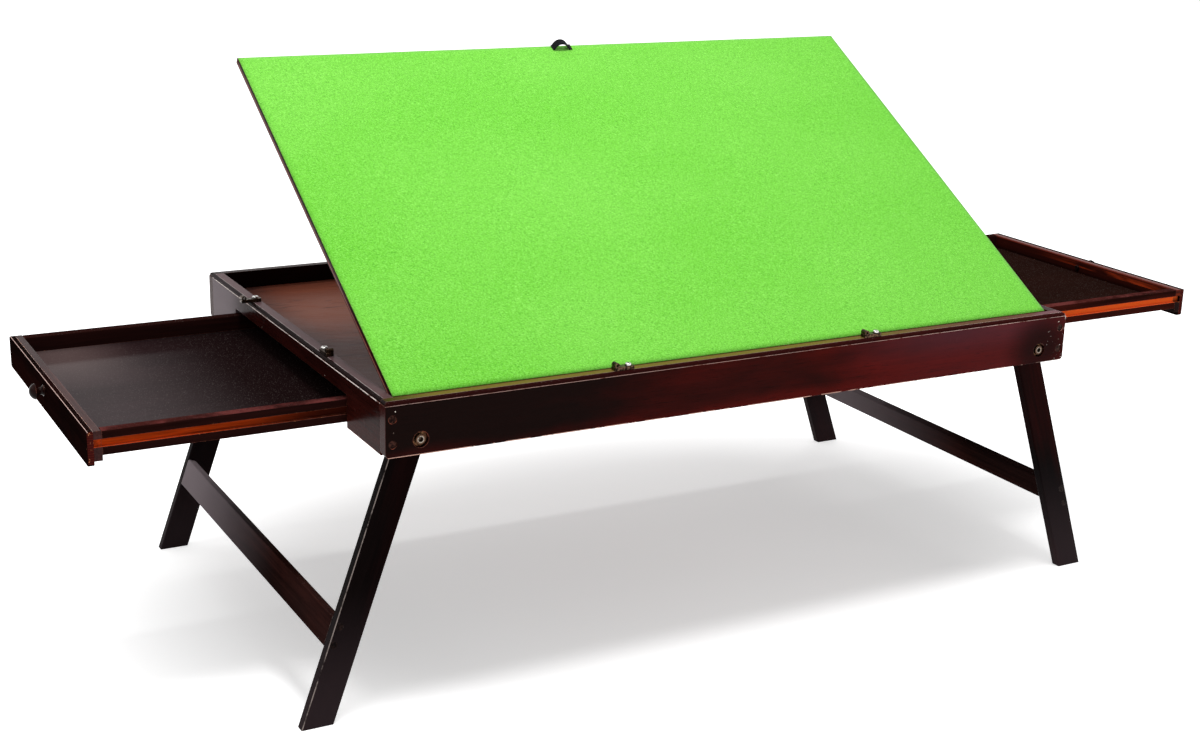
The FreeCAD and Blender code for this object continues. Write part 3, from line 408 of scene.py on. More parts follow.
# %% Recipe for lacquered wood
ALONG_X = (0, 0, 0)
ALONG_Y = (0, 0, math.radians(-90))
RIGHT_GROOVE_LIT_ORANGE = (255, 118, 50)
NICK_COLOUR = (206, 132, 84)
DUST_COLOUR = (150, 140, 135)
GRAIN_DEPTH = 0.06 * MM
DRAWER_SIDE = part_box("left_drawer_front_side")
GROOVE_CENTRE = (DRAWER_SIDE[0].z + DRAWER_SIDE[1].z) / 2
GROOVE_HALF_HEIGHT = 4.1 * MM
GROOVE_SKIN = 0.4 * MM
GROOVE_DEPTH = 4.6 * MM
GROOVE_DARK = 20 * MM
GROOVE_LIT = 170 * MM
RAIL_PAINTED_LIGHT_HEIGHT = 16 * MM
GROOVE_FACE_Y = -DRAWER_SIDE[0].y
FRONT_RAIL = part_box("front_rail")
FRONT_FACE = FRONT_RAIL[0].y
RAIL_FOOT = FRONT_RAIL[0].z
RIM_TOP = FRONT_RAIL[1].z
BACK_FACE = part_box("back_rail")[1].y
LEFT_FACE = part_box("left_end_rail")[0].x
RIGHT_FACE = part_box("right_end_rail")[1].x


def new_material(name):
    """An empty material: (shader, place in the table's own space, material)."""
    material = bpy.data.materials.new(name)
    material.use_nodes = True
    tree = material.node_tree
    tree.nodes.clear()
    shader = tree.nodes.new("ShaderNodeBsdfPrincipled")
    fill(tree.nodes.new("ShaderNodeOutputMaterial"), {"Surface": Wire(shader.outputs[0])})
    return shader, add(tree, "ShaderNodeTexCoord")["Object"], material


def finish(material, solids):
    """Gives a material to every slot of the named solids."""
    for name in solids.split():
        slots = NODES[name].material_slots
        for slot in slots:
            slot.material = material
        if not slots:
            NODES[name].data.materials.append(material)
    print(material.name, "on", solids)


def groove_mask(at):
    """1 inside the runner grooves of the drawers, 0 elsewhere."""
    level = within(at.z, GROOVE_CENTRE, GROOVE_HALF_HEIGHT)
    return level * (abs(at.y) < GROOVE_FACE_Y - GROOVE_SKIN) * (abs(at.y) > GROOVE_FACE_Y - GROOVE_DEPTH)


def groove_colour(at, streaks, orange):
    """The raw colour of a groove and how much of it shows: painted shade darkens the left drawer's towards
    the case, and the right drawer's is painted brighter, as painted light.
    """
    raw = blend(streaks, tuple(part * 0.6 for part in orange), orange)
    # Painted shade towards the case on the left drawer; painted light on the right drawer.
    bright = spread(at.x, LEFT_FACE - GROOVE_DARK, LEFT_FACE - GROOVE_LIT, 0.1, 1.0)
    at_right = at.x > 0.0
    return blend(at_right * 0.8, raw, RIGHT_GROOVE_LIT_ORANGE), sums("MAXIMUM", bright, at_right)

# %% The lacquer itself
def lacquer(name, solids, deep, body, glow, turn=ALONG_X, glow_amount=0.5, streak=0.6, slope=0.0,
            offset=0.0, foot_painted_light=0.0, left_painted_shade=0.0, calm=0.0, smooth=0.15, dull=0.28, rub=0.6, nicks=0.5,
            level=0.12, rub_colour=(150, 92, 76), groove=None, lines=None, polish=None):
    """Lacquers some solids, with the grain turned to run along them."""
    shader, at, material = new_material(name)
    along = turned(at, turn)
    bias = sums("MULTIPLY_ADD", at.x, slope, offset)
    # Painted light: on the front rail these raise the red near its foot and lower it at its left.
    if foot_painted_light:
        bias = bias + spread(at.z, RAIL_FOOT + RAIL_PAINTED_LIGHT_HEIGHT, RAIL_FOOT, 0.0, foot_painted_light)
    if left_painted_shade:
        bias = bias - spread(at.x, -0.12, -0.38, 0.0, left_painted_shade)
    grain = place_group(GRAIN, {"Place": along, "Deep": deep, "Body": body, "Glow": glow, "Calm": calm,
                                "Glow amount": glow_amount, "Streak": streak, "Glow bias": bias})
    arris = place_group(ARRIS, {"Place": at, "Rub": rub, "Nicks": nicks})
    marks = place_group(MARKS, {"Place": along, "Smooth": smooth, "Dull": dull})
    colour = grain["Colour"]
    if groove:
        raw, bright = groove_colour(at, grain["Streaks"], groove)
        colour = blend(groove_mask(at) * bright, colour, raw)
    colour = blend(arris["Rubbed"] * 0.7, colour, rub_colour)
    if lines:
        colour = lines(at, colour, deep)
    colour = blend(arris["Nicked"], colour, NICK_COLOUR)
    colour = blend(marks["Dust"] * 0.25, colour, DUST_COLOUR)
    relief = bump(grain["Height"] - marks["Scratches"] * 0.5, GRAIN_DEPTH, 0.6, arris["Soft normal"])
    fill(shader, {"Base Color": colour, "Roughness": marks["Roughness"], "Normal": relief,
                  "Specular IOR Level": level})
    if polish:
        near, far, most = polish
        fill(shader, {"Coat Weight": spread(at.x, near, far, 0.0, most), "Coat Roughness": 0.12})
    finish(material, solids)

# %% [markdown]
# ## The case
# The four rails are stained almost black. On the front rail the red is painted stronger towards the right
# and near the foot and weaker at the left, as painted light. Long rails have their grain along X and end
# rails along Y, so each rail pair gets its own copy of the recipe, and the mitres show the change as they
# should.

# %% Sizes and colours of the painted highlights, painted sheens and rubbed lines
RIM_BEAD = 4.0 * MM
RIM_SKIN = 0.6 * MM
# Painted sheen on the rims' flat tops; the olive one on the front is a painted reflection of the felt.
LONG_FLAT_SHEEN_COLOUR = (112, 92, 40)
RIGHT_FLAT_SHEEN_COLOUR = (100, 46, 54)
BACK_FLAT_SHEEN_COLOUR = (66, 48, 44)
END_FLAT_SHEEN_COLOUR = (118, 94, 96)
# Painted highlights along the rims' arrises.
RIM_HIGHLIGHT_COLOUR = (240, 206, 196)
END_HIGHLIGHT_COLOUR = (255, 240, 234)
FOOT_LINE_COLOUR = (232, 182, 164)
SINK_RIM_COLOUR = (150, 78, 60)
RIGHT_SINK_RIM_HIGHLIGHT_COLOUR = (232, 158, 138)
# A darker painted sheen on the right end rail's flat top.
RIGHT_END_FLAT_SHEEN_COLOUR = (52, 30, 30)
MITRE_COLOUR = (58, 20, 17)
RAIL_SHEEN_COLOUR = (118, 62, 72)
END_SHEEN_COLOUR = (130, 116, 121)
KNOCK_COLOUR = (222, 208, 200)
FOOT_LINE_INSET = 1.4 * MM
FOOT_LINE_HEIGHT = 1.2 * MM
FOOT_LINE_FADE = (70 * MM, 20 * MM)
FLAT_SKIN = 0.3 * MM
FLAT_FADE = 60 * MM
LINE_HALF = 0.30 * MM
LINE_FADE = 40 * MM
MITRE_SKIN = 0.4 * MM
SINK_RIM_OUT = 0.2 * MM
SINK_RIM_HALF = 0.3 * MM
RAIL_SHEEN_DROPS = (42 * MM, 4 * MM)
BOLT_SHADE_REACH = (62 * MM, 14 * MM)
KNOCK_REACH = 1.2 * MM
SCUFF_REACH = 26 * MM
SCUFF_DROP = 20 * MM

# %% Places of the heads on the front face
HEAD_APART = 14 * MM
HEAD_DEPTH = 6 * MM
SCREW_SINK_RADIUS = 4.05 * MM
BOLT_SINK_RADIUS = 8.2 * MM


def head_places(node, face):
    """Where the heads of a node stand on the front face, as (distance from the middle, height)."""
    heads = []
    for vertex in NODES[node].data.vertices:
        if vertex.co.y < face:
            spot = (abs(vertex.co.x - CASE_MIDDLE), vertex.co.z)
            near = [head for head in heads if math.dist(head[0], spot) < HEAD_APART]
            if near:
                near[0].append(spot)
            else:
                heads.append([spot])
    found = [tuple((min(row) + max(row)) / 2 for row in zip(*head)) for head in heads]
    print(node, "heads at", [(round(x, 4), round(z, 4)) for x, z in found])
    return found


def span_from(at, place):
    """Distance on the front face from a place given on both halves of the table."""
    across = abs(at.x - CASE_MIDDLE) - place[0]
    above = at.z - place[1]
    return sums("SQRT", across * across + above * above)


SCREW_PLACES = head_places("corner_screws", FRONT_FACE + HEAD_DEPTH)
BOLT_PLACES = head_places("leg_bolts", FRONT_FACE + HEAD_DEPTH)

# %% Painted highlights, sheen and reflection of the rim
def rim_lines(at, colour, lengthwise):
    """The rim of a rail: a painted dark reflection on its bead between two painted highlight lines, a
    painted sheen on its flat top and a worn foot.
    """
    drop = RIM_TOP - at.z
    if lengthwise:
        inset = (BACK_FACE - FRONT_FACE) / 2 - abs(at.y - (FRONT_FACE + BACK_FACE) / 2)
        shown = spread(at.x, LEFT_FACE, LEFT_FACE + FLAT_FADE, 0.25, 1.0)
        flat_sheen_colour = blend(spread(at.x, 0.05, 0.3), LONG_FLAT_SHEEN_COLOUR, RIGHT_FLAT_SHEEN_COLOUR)
        flat_sheen_colour = blend(at.y > 0.0, flat_sheen_colour, BACK_FLAT_SHEEN_COLOUR)
        faded = spread(at.x, 0.06, RIGHT_FACE - LINE_FADE, 0.5, 1.0)
        bead_reflection_colour, highlight_colour = (44, 10, 9), RIM_HIGHLIGHT_COLOUR
        upper_share, lower_share, lower_half = 0.55, 0.9, LINE_HALF
    else:
        inset = (RIGHT_FACE - LEFT_FACE) / 2 - abs(at.x - CASE_MIDDLE)
        shown = spread(at.y, FRONT_FACE, BACK_FACE * 0.5, 0.45, 1.0)
        flat_sheen_colour = blend(at.x > 0.0, END_FLAT_SHEEN_COLOUR, RIGHT_END_FLAT_SHEEN_COLOUR)
        faded = spread(at.x, 0.0, 0.22, 1.0, 0.3)
        bead_reflection_colour, highlight_colour = (18, 8, 8), END_HIGHLIGHT_COLOUR
        upper_share, lower_share, lower_half = 0.35, 1.0, LINE_HALF * 2
    # Painted reflection: the bead is painted dark.
    bead = (drop < RIM_BEAD) * (inset < RIM_BEAD)
    colour = blend(bead * 0.85, colour, bead_reflection_colour)
    # Painted sheen on the flat top, weaker at the long rails' left end and at the end rails' front end.
    flat = (drop < FLAT_SKIN) * (inset > RIM_BEAD)
    colour = blend(flat * (shown * 0.95), colour, flat_sheen_colour)
    # Painted highlights: a thin pale line on each side of the bead.
    upper = within(inset, RIM_BEAD, LINE_HALF) * (drop < RIM_SKIN) * upper_share
    lower = within(drop, RIM_BEAD, lower_half) * (inset < RIM_SKIN) * lower_share
    broken = spread(noise(at, 60, 4, 0.7), 0.34, 0.5)
    colour = blend(sums("MAXIMUM", upper, lower) * faded * broken, colour, highlight_colour)
    worn = spread(at.x - LEFT_FACE, *FOOT_LINE_FADE, 0.47, 0.4)
    foot = (at.z < RAIL_FOOT + FOOT_LINE_HEIGHT) * (inset < FOOT_LINE_INSET)
    return blend(foot * (noise(at, 38, 4, 0.7) > worn), colour, FOOT_LINE_COLOUR)

# %% Painted highlights, sheen and shade of the long rails and the end rails, with their wear
def long_lines(at, colour, deep):
    """The rim of a long rail, raw screw-sink rims with a painted highlight on one side, painted sheen and
    shade at the right, and the knocks there.
    """
    colour = blend(at.x < LEFT_FACE + MITRE_SKIN, colour, MITRE_COLOUR)
    colour = rim_lines(at, colour, True)
    chipped = spread(noise(at, 210, 3, 0.6), 0.46, 0.6)
    rim_colour = blend(spread(at.x, 0.2, 0.4), SINK_RIM_COLOUR, RIGHT_SINK_RIM_HIGHLIGHT_COLOUR)
    sinks = [(spot, SCREW_SINK_RADIUS, -1) for spot in SCREW_PLACES]
    for spot, radius, side in sinks + [(spot, BOLT_SINK_RADIUS, 1) for spot in BOLT_PLACES]:
        # Raw wood round each sink, painted brighter on one side as a painted highlight.
        ring = within(span_from(at, spot), radius + SINK_RIM_OUT, SINK_RIM_HALF)
        highlit_side = spread((at.z - spot[1]) * side, -radius, radius, 0.1, 0.9)
        colour = blend(ring * chipped * highlit_side, colour, rim_colour)
    drop = RIM_TOP - at.z
    # Painted sheen: pinkish grey towards the right end, growing towards the top.
    painted_sheen = spread(at.x, 0.05, 0.26) * spread(drop, *RAIL_SHEEN_DROPS, 0.1, 0.42)
    painted_sheen = painted_sheen * spread(at.x, 0.4, 0.32, 0.3, 1.0) * (drop > RIM_BEAD + MITRE_SKIN)
    colour = blend(painted_sheen, colour, RAIL_SHEEN_COLOUR)
    # Painted shade round the right bolt.
    shaded = spread(span_from(at, BOLT_PLACES[0]), *BOLT_SHADE_REACH, 0.0, 0.8) * (at.x > 0.0)
    colour = blend(shaded * (drop > RIM_BEAD), colour, deep)
    knocks = (at.x > RIGHT_FACE - KNOCK_REACH) * spread(noise(at, 150, 3, 0.6), 0.5, 0.56)
    scuffed = (at.x > RIGHT_FACE - SCUFF_REACH) * (at.z < RIM_TOP - SCUFF_DROP)
    scuffs = scuffed * spread(noise(at, 330, 3, 0.6), 0.655, 0.7)
    return blend(sums("MAXIMUM", knocks, scuffs), colour, KNOCK_COLOUR)


END_SHEEN_REACH = (-50 * MM, 30 * MM)
OPENING_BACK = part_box("left_drawer_back_side")[1].y


def end_lines(at, colour, deep):
    """The rim of an end rail, over a painted grey sheen that grows towards the back."""
    painted_sheen = spread(at.y - OPENING_BACK, *END_SHEEN_REACH, 0.0, 0.9)
    colour = blend(painted_sheen, colour, END_SHEEN_COLOUR)
    return rim_lines(at, colour, False)

# %% Finish the case
TRAY_LIGHT_POOL_PLACE = (-0.335, 0.14, 0.316)
TRAY_LIGHT_POOL_REACH = (0.17, 0.02)
TRAY_LIGHT_POOL_COLOUR = (168, 92, 62)
TRAY_SHEEN_COLOURS = ((70, 54, 54), (122, 78, 68))
TRAY_SHEEN_REACH = (75 * MM, 15 * MM)


def tray_lines(at, colour, deep):
    """A painted pool of warm light beside the board, faint ripples of a hand-wiped coat, and painted sheen
    at the left.
    """
    away = vectors("DISTANCE", at, TRAY_LIGHT_POOL_PLACE)
    # Painted light: a warm pool beside the board.
    colour = blend(spread(away, *TRAY_LIGHT_POOL_REACH, 0.0, 0.75), colour, TRAY_LIGHT_POOL_COLOUR)
    waves = noise(at, (18, 150, 1), 3, 0.55, 0.8)
    patch = spread(noise(at, 8, 2, 0.5), 0.46, 0.6)
    ripple = spread(waves, 0.57, 0.65) * patch
    colour = blend(ripple * 0.55, colour, deep)
    # Painted sheen at the left end.
    painted_sheen = spread(at.x - LEFT_FACE, *TRAY_SHEEN_REACH, 0.0, 0.7)
    return blend(painted_sheen, colour, blend(spread(at.y, 0.0, -0.14), *TRAY_SHEEN_COLOURS))


CASE_DEEP = (12, 4, 3)
INNER_STAIN = ((14, 7, 5), (44, 20, 15), (92, 36, 20))
# Painted light: this rail is painted redder towards the right and near its foot, and darker at its left.
lacquer("case lacquer lengthwise", "front_rail back_rail", CASE_DEEP, (24, 8, 6), (98, 19, 14),
        glow_amount=1.0, streak=0.3, slope=0.2, offset=0.055, foot_painted_light=0.08, left_painted_shade=0.1, calm=0.5,
        rub=0.9, level=0.02, lines=long_lines)
lacquer("case lacquer endwise", "left_end_rail right_end_rail", CASE_DEEP, (52, 19, 16), (92, 31, 24),
        ALONG_Y, slope=0.1, rub=0.9, level=0.01, lines=end_lines)
lacquer("tray lacquer", "tray_floor", (38, 20, 17), (100, 56, 47), (138, 74, 54), glow_amount=0.7,
        streak=0.25, slope=0.4, offset=0.16, smooth=0.3, dull=0.45, rub=0.1, nicks=0.1, level=0.03,
        lines=tray_lines)
lacquer("inner lacquer", "front_bay_wall back_bay_wall drawer_runners prop_head_bar", *INNER_STAIN,
        smooth=0.35, dull=0.55)
lacquer("inner lacquer across", "centre_divider rest_strips prop_left_arm prop_right_arm", *INNER_STAIN,
        ALONG_Y, smooth=0.35, dull=0.55)

# %% [markdown]
# ## Legs and stretchers
# Each leg is one straight stick. The left pair slopes one way and the right pair the other, so the
# grain is turned by the slope read from the solids. The stretchers run from front to back.

# %% Finish the legs
LEG_DEEP = (5, 4, 4)
# Pale rub of the legs' worn arrises, also the colour of the painted highlight line on the left legs.
LEG_RUB_AND_HIGHLIGHT = (160, 146, 140)
FOOT_SHEEN = (66, 54, 57)
STRETCHER_SHEEN = (150, 138, 142)
LEG_SKIN = 0.9 * MM


def foot_sheen(at, colour, deep):
    """A painted grey sheen that grows towards the foot of a leg."""
    return blend(spread(at.z, 0.16, 0.0, 0.0, 0.55), colour, FOOT_SHEEN)


def leg_arris(node, angle):
    """Paints a thin highlight line down the left front arris of a sloping leg, as painted light."""
    across = Vector((math.sin(angle), 0, -math.cos(angle)))
    edge, front = reach(node, across)[0], reach(node, Y_AXIS)[0]

    def draw(at, colour, deep):
        offset = at.x * across.x + at.z * across.z
        near = (offset - edge < LEG_SKIN) * (at.y - front < LEG_SKIN)
        broken = spread(noise(at, 34, 4, 0.7), 0.36, 0.52)
        colour = foot_sheen(at, colour, deep)
        return blend(near * broken, colour, LEG_RUB_AND_HIGHLIGHT)
    return draw


lacquer("left leg lacquer", "left_front_leg left_back_leg", LEG_DEEP, (18, 11, 11), (50, 12, 10),
        (0, LEFT_LEG_ANGLE, 0), 0.45, rub=0.7, level=0.004, rub_colour=LEG_RUB_AND_HIGHLIGHT,
        lines=leg_arris("left_front_leg", LEFT_LEG_ANGLE))
lacquer("right leg lacquer", "right_front_leg right_back_leg", LEG_DEEP, (15, 8, 8), (64, 13, 10),
        (0, RIGHT_LEG_ANGLE, 0), 0.6, rub=0.7, level=0.01, rub_colour=LEG_RUB_AND_HIGHLIGHT, lines=foot_sheen)


def stretcher_sheen(at, colour, deep):
    """A painted grey sheen that grows towards the back."""
    return blend(spread(at.y, -0.1, 0.24, 0.0, 0.95), colour, STRETCHER_SHEEN)


lacquer("stretcher lacquer", "left_stretcher right_stretcher", (20, 12, 12), (50, 31, 29), (84, 40, 32),
        ALONG_Y, 0.5, level=0.0, rub=0.8, rub_colour=LEG_RUB_AND_HIGHLIGHT, lines=stretcher_sheen)

# %% [markdown]
# ## The drawers
# The drawer boxes are stained like the case, with a browner floor. The runner grooves were cut after
# staining and got only a thin coat, so they shine orange. A mask finds them by their own height and
# depth. Painting them as a second material would need new faces, and the solids aren't to be changed.

# %% Finish the drawer sides
SHOW_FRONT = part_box("left_drawer_outer_front")
DRAWER_TOP = SHOW_FRONT[1].z
SIDE_TOP_SKIN = 0.6 * MM
SIDE_TOP_HIGHLIGHT_COLOUR = (124, 62, 60)


def side_lines(at, colour, deep):
    """The top edge of a drawer side, with a broken pale line of painted highlight."""
    top = (DRAWER_TOP - at.z < SIDE_TOP_SKIN) * (at.y < 0.0)
    broken = spread(noise(at, 24, 4, 0.7), 0.4, 0.62, 0.1, 0.6)
    return blend(top * broken, colour, SIDE_TOP_HIGHLIGHT_COLOUR)


GROOVE_ORANGE = (240, 88, 26)
DRAWER_SIDES = ("left_drawer_front_side left_drawer_back_side "
                "right_drawer_front_side right_drawer_back_side")
lacquer("drawer side lacquer", DRAWER_SIDES, (16, 8, 7), (42, 19, 17), (90, 32, 23), glow_amount=0.5,
        slope=0.1, rub=0.9, nicks=0.7, level=0.0, groove=GROOVE_ORANGE, lines=side_lines)

# %% Painted highlights and marked ends of the show fronts
SHOW_FACES = (SHOW_FRONT[0].x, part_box("right_drawer_outer_front")[1].x)
SHOW_THICKNESS = SHOW_FRONT[1].x - SHOW_FACES[0]
SHOW_EDGE = 1.3 * MM
SHOW_HALF = SHOW_FRONT[1].y
SHOW_SKIN = 0.7 * MM
SHOW_LINES = (0.32 * MM, 0.24 * MM)
SHOW_END_REACH = 0.3 * MM
SHOW_CHIP_REACH = 1.4 * MM
SAW_WAVE = 2600
SHOW_END_COLOUR = (86, 30, 26)
SHOW_CHIP_COLOUR = (226, 150, 104)
SHOW_OUTER = 3.2 * MM
SHOW_OUTER_COLOUR = (14, 8, 8)


def show_lines(at, colour, deep):
    """Two painted highlight hairlines along the top of a show front, over its saw-marked and chipped ends.
    """
    from_right = SHOW_FACES[1] - at.x
    inset = sums("MINIMUM", at.x - SHOW_FACES[0], from_right)
    top = DRAWER_TOP - at.z < SHOW_SKIN
    first = within(inset, SHOW_EDGE, SHOW_LINES[0])
    second = within(inset, SHOW_THICKNESS, SHOW_LINES[1])
    broken = spread(noise(at, 40, 4, 0.7), 0.2, 0.4, 0.2, 0.8)
    lined = sums("MAXIMUM", first, second) * top * (broken * (at.x < 0.0))
    end = abs(at.y) > SHOW_HALF - SHOW_END_REACH
    saw = spread(sums("SINE", at.z * SAW_WAVE), 0.2, 0.9, 0.9, 0.45)
    colour = blend(end * saw, colour, SHOW_END_COLOUR)
    chips = spread(noise(at, 420, 3, 0.6), 0.66, 0.71)
    colour = blend((abs(at.y) > SHOW_HALF - SHOW_CHIP_REACH) * chips, colour, SHOW_CHIP_COLOUR)
    outer = (from_right < SHOW_OUTER) * top * (at.x > 0.0)
    colour = blend(outer * 0.9, colour, SHOW_OUTER_COLOUR)
    # Painted highlights: the two hairlines along the top.
    return blend(lined, colour, RIM_HIGHLIGHT_COLOUR)

# %% Finish the drawer fronts
LIT_DARK_DROPS = (5 * MM, 20 * MM)
LIT_STREAK = (6 * MM, 3 * MM)
LIT_TOP_DROPS = (2.6 * MM, 0.8 * MM)
LIT_STREAK_COLOUR = (190, 66, 28)
LIT_TOP_COLOUR = (122, 42, 28)


def lit_top(at, colour, deep):
    """The back of a front: painted light, orange, at its top and in a streak below it, and painted shade,
    almost black, lower down.
    """
    drop = DRAWER_TOP - at.z
    # Painted shade lower down, then painted light in an orange streak and at the top.
    colour = blend(spread(drop, *LIT_DARK_DROPS, 0.0, 0.9), colour, deep)
    streak = spread(at.y, 0.1, -0.08) * within(drop, *LIT_STREAK)
    torn = spread(noise(at, (1, 12, 90), 3, 0.6), 0.36, 0.6, 0.0, 0.7)
    colour = blend(streak * torn, colour, LIT_STREAK_COLOUR)
    return blend(spread(drop, *LIT_TOP_DROPS, 0.0, 0.6), colour, LIT_TOP_COLOUR)


lacquer("show front lacquer", "left_drawer_outer_front right_drawer_outer_front", (10, 5, 5), (22, 12, 11),
        (46, 18, 15), ALONG_Y, 0.8, rub=0.4, nicks=0.9, level=0.0, lines=show_lines)
lacquer("left inner front lacquer", "left_drawer_inner_front", (30, 18, 18), (74, 48, 47), (98, 58, 54),
        ALONG_Y, 0.8, rub=0.3, nicks=0.9, level=0.02, groove=GROOVE_ORANGE)
lacquer("right inner front lacquer", "right_drawer_inner_front", (20, 8, 7), (60, 20, 14), (92, 32, 19),
        ALONG_Y, 0.8, rub=0.3, nicks=0.9, level=0.02, groove=GROOVE_ORANGE, lines=lit_top)
lacquer("drawer back lacquer", "left_drawer_back right_drawer_back", (18, 8, 7), (52, 22, 17), (98, 36, 22),
        ALONG_Y)

# %% Finish the drawer floors and knobs
LEFT_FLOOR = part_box("left_drawer_bottom")
FLOOR_SHEEN_COLOUR = (104, 86, 84)
FLOOR_SHEEN_REACH = (120 * MM, 210 * MM)
FLOOR_SHADE_REACH = (190 * MM, 30 * MM)
FLOOR_POLISH = (LEFT_FLOOR[0].x + 210 * MM, LEFT_FLOOR[0].x + 20 * MM, 0.22)


def floor_sheen_and_shade(at, colour, deep):
    """The left drawer's floor: painted sheen at its far corner, and painted shade where it runs into the
    case.
    """
    outside = LEFT_FACE - at.x
    colour = blend(spread(outside, *FLOOR_SHADE_REACH, 0.0, 0.9), colour, deep)
    far = spread(at.y, -0.02, 0.15, 0.0, 0.6) * spread(outside, *FLOOR_SHEEN_REACH)
    return blend(far, colour, FLOOR_SHEEN_COLOUR)


lacquer("left drawer floor lacquer", "left_drawer_bottom", (22, 12, 12), (46, 31, 33), (54, 37, 40),
        streak=0.2, smooth=0.26, dull=0.36, rub=0.1, nicks=0.1, level=0.0, lines=floor_sheen_and_shade,
        polish=FLOOR_POLISH)
lacquer("right drawer floor lacquer", "right_drawer_bottom", (20, 12, 10), (36, 19, 15), (48, 24, 19),
        streak=0.2, smooth=0.5, dull=0.65, rub=0.1, nicks=0.1, level=0.0)
lacquer("knob lacquer", "left_drawer_knob right_drawer_knob", (14, 6, 5), (34, 14, 11), (56, 22, 15),
        smooth=0.08, dull=0.16, level=0.05)

# %% [markdown]
# ## The board
# The board is thin and stained on its back and edges, with felt glued over its face. Its grain runs
# lengthwise. The board leans back, so its places are first turned flat.

# %% Finish the board
BOARD_UNDER, BOARD_OVER = reach("board_panel", BOARD_NORMAL)
BOARD_LEFT, BOARD_RIGHT = [corner.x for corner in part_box("board_panel")]
PLY_SKIN = 0.4 * MM
PLY_BANDS = ((0.10, 0.11, (22, 8, 7)), (0.36, 0.07, (206, 138, 126)), (0.56, 0.10, (104, 42, 34)),
             (0.86, 0.16, (16, 7, 7)))


def ply_lines(at, colour, deep):
    """The plies that show at the board's ends: (share of the thickness, half width, colour)."""
    share = (vectors("DOT_PRODUCT", at, tuple(BOARD_NORMAL)) - BOARD_UNDER) / (BOARD_OVER - BOARD_UNDER)
    end = sums("MINIMUM", at.x - BOARD_LEFT, BOARD_RIGHT - at.x) < PLY_SKIN
    broken = spread(noise(at, 30, 4, 0.7), 0.28, 0.5, 0.35, 1.0)
    for middle, half, ply_colour in PLY_BANDS:
        colour = blend(end * within(share, middle, half) * broken, colour, ply_colour)
    return colour


lacquer("board lacquer", "board_panel", (20, 8, 7), (74, 24, 20), (120, 44, 30), (-BOARD_TILT, 0, 0),
        smooth=0.25, dull=0.4, rub=1.0, nicks=0.6, level=0.02, rub_colour=(150, 74, 62), lines=ply_lines)

# %% [markdown]
# ## Metal
# The fittings are cheap ones: zinc-plated screws, a bronzed turn button and brassy hinges. Real metal
# is told by its colour at the reflection, so Metallic is 1. Tarnish is a mask that darkens and dulls
# the metal where hands and polish don't reach.

# %% Node group: tarnish
def tarnish_effect(given):
    """Dull patches and brushed lines on metal."""
    place = given["Place"]
    blotch = noise(place, 420, 4, 0.65, 0.3)
    lines = noise(place, (300, 4000, 4000), 2, 0.5)
    low = 0.75 - given["Age"] * 0.4
    old = spread(blotch - low, -0.08, 0.12)
    rough = given["Smooth"] + old * 0.28
    rough = sums("ADD", rough, lines * 0.08, clamp=True)
    colour = blend(old, given["Metal"], given["Dull metal"])
    return {"Colour": colour, "Roughness": rough, "Height": lines}


TARNISH = node_group("Tarnish", tarnish_effect, {
    "Place": None, "Metal": (200, 198, 195), "Dull metal": (90, 85, 80), "Age": 0.5, "Smooth": 0.2}, {
    "Colour": COLOUR, "Roughness": NUMBER, "Height": NUMBER})

# %% Recipe for metal
BRUSH_DEPTH = 0.02 * MM


def metal(name, bright, dull, age, smooth, shades=None):
    """A metal finish with tarnish and softened edges."""
    shader, at, material = new_material(name)
    skin = place_group(TARNISH, {"Place": at, "Metal": bright, "Dull metal": dull, "Age": age,
                                 "Smooth": smooth})
    arris = place_group(ARRIS, {"Place": at, "Reach": 0.0003, "Rub": 0.9, "Nicks": 0.0})
    colour = blend(arris["Rubbed"] * 0.7, skin["Colour"], bright)
    if shades:
        colour = shades(at, colour)
    relief = bump(skin["Height"], BRUSH_DEPTH, 0.4, arris["Soft normal"])
    fill(shader, {"Base Color": colour, "Roughness": skin["Roughness"], "Normal": relief,
                  "Metallic": 1.0})
    return material

# %% Finish the fittings
BOLT_SOCKET_RADIUS = 2.7 * MM
BOLT_BRIGHT_RADIUS = 3.6 * MM
BOLT_RIM_COLOUR = (74, 54, 42)
BOLT_SOCKET_SHADE_COLOUR = (56, 44, 36)


def bolt_shades(at, colour):
    """A bolt head that is bright only round its socket, darker at its rim, with painted shade in its
    socket.
    """
    away = span_from(at, BOLT_PLACES[0])
    colour = blend(away > BOLT_BRIGHT_RADIUS, colour, BOLT_RIM_COLOUR)
    return blend(away < BOLT_SOCKET_RADIUS, colour, BOLT_SOCKET_SHADE_COLOUR)


FITTINGS = (
    ("hinge brass", (196, 164, 108), (96, 72, 44), 0.6, 0.25, None,
     "rail_hinge_leaves board_hinge_leaves prop_board_leaves prop_leaves"),
    ("bolt steel", (134, 126, 116), (70, 56, 44), 0.5, 0.14, bolt_shades,
     "leg_bolts leg_nuts leg_spacers prop_foot_rod"),
    ("washer bronze", (100, 70, 48), (44, 30, 22), 0.6, 0.3, None, "leg_washers"),
    ("screw steel", (206, 204, 200), (110, 104, 98), 0.3, 0.14, None, "button_screws"),
    # Painted shade: the screws sunk in the corners and the knob screws get a dark metal for the shade of
    # their holes.
    ("browned screw steel", (52, 32, 27), (20, 11, 10), 0.7, 0.3, None,
     "corner_screws left_drawer_knob_screw right_drawer_knob_screw"),
    ("blackened screw steel", (30, 20, 18), (13, 9, 9), 0.7, 0.35, None,
     "left_stretcher_screws right_stretcher_screws"),
    ("bronzed steel", (88, 68, 52), (28, 20, 16), 0.68, 0.22, None,
     "button_spacers left_front_button left_back_button right_front_button right_back_button "
     "front_left_button front_right_button back_left_button back_right_button"))
for *recipe, solids in FITTINGS:
    finish(metal(*recipe), solids)

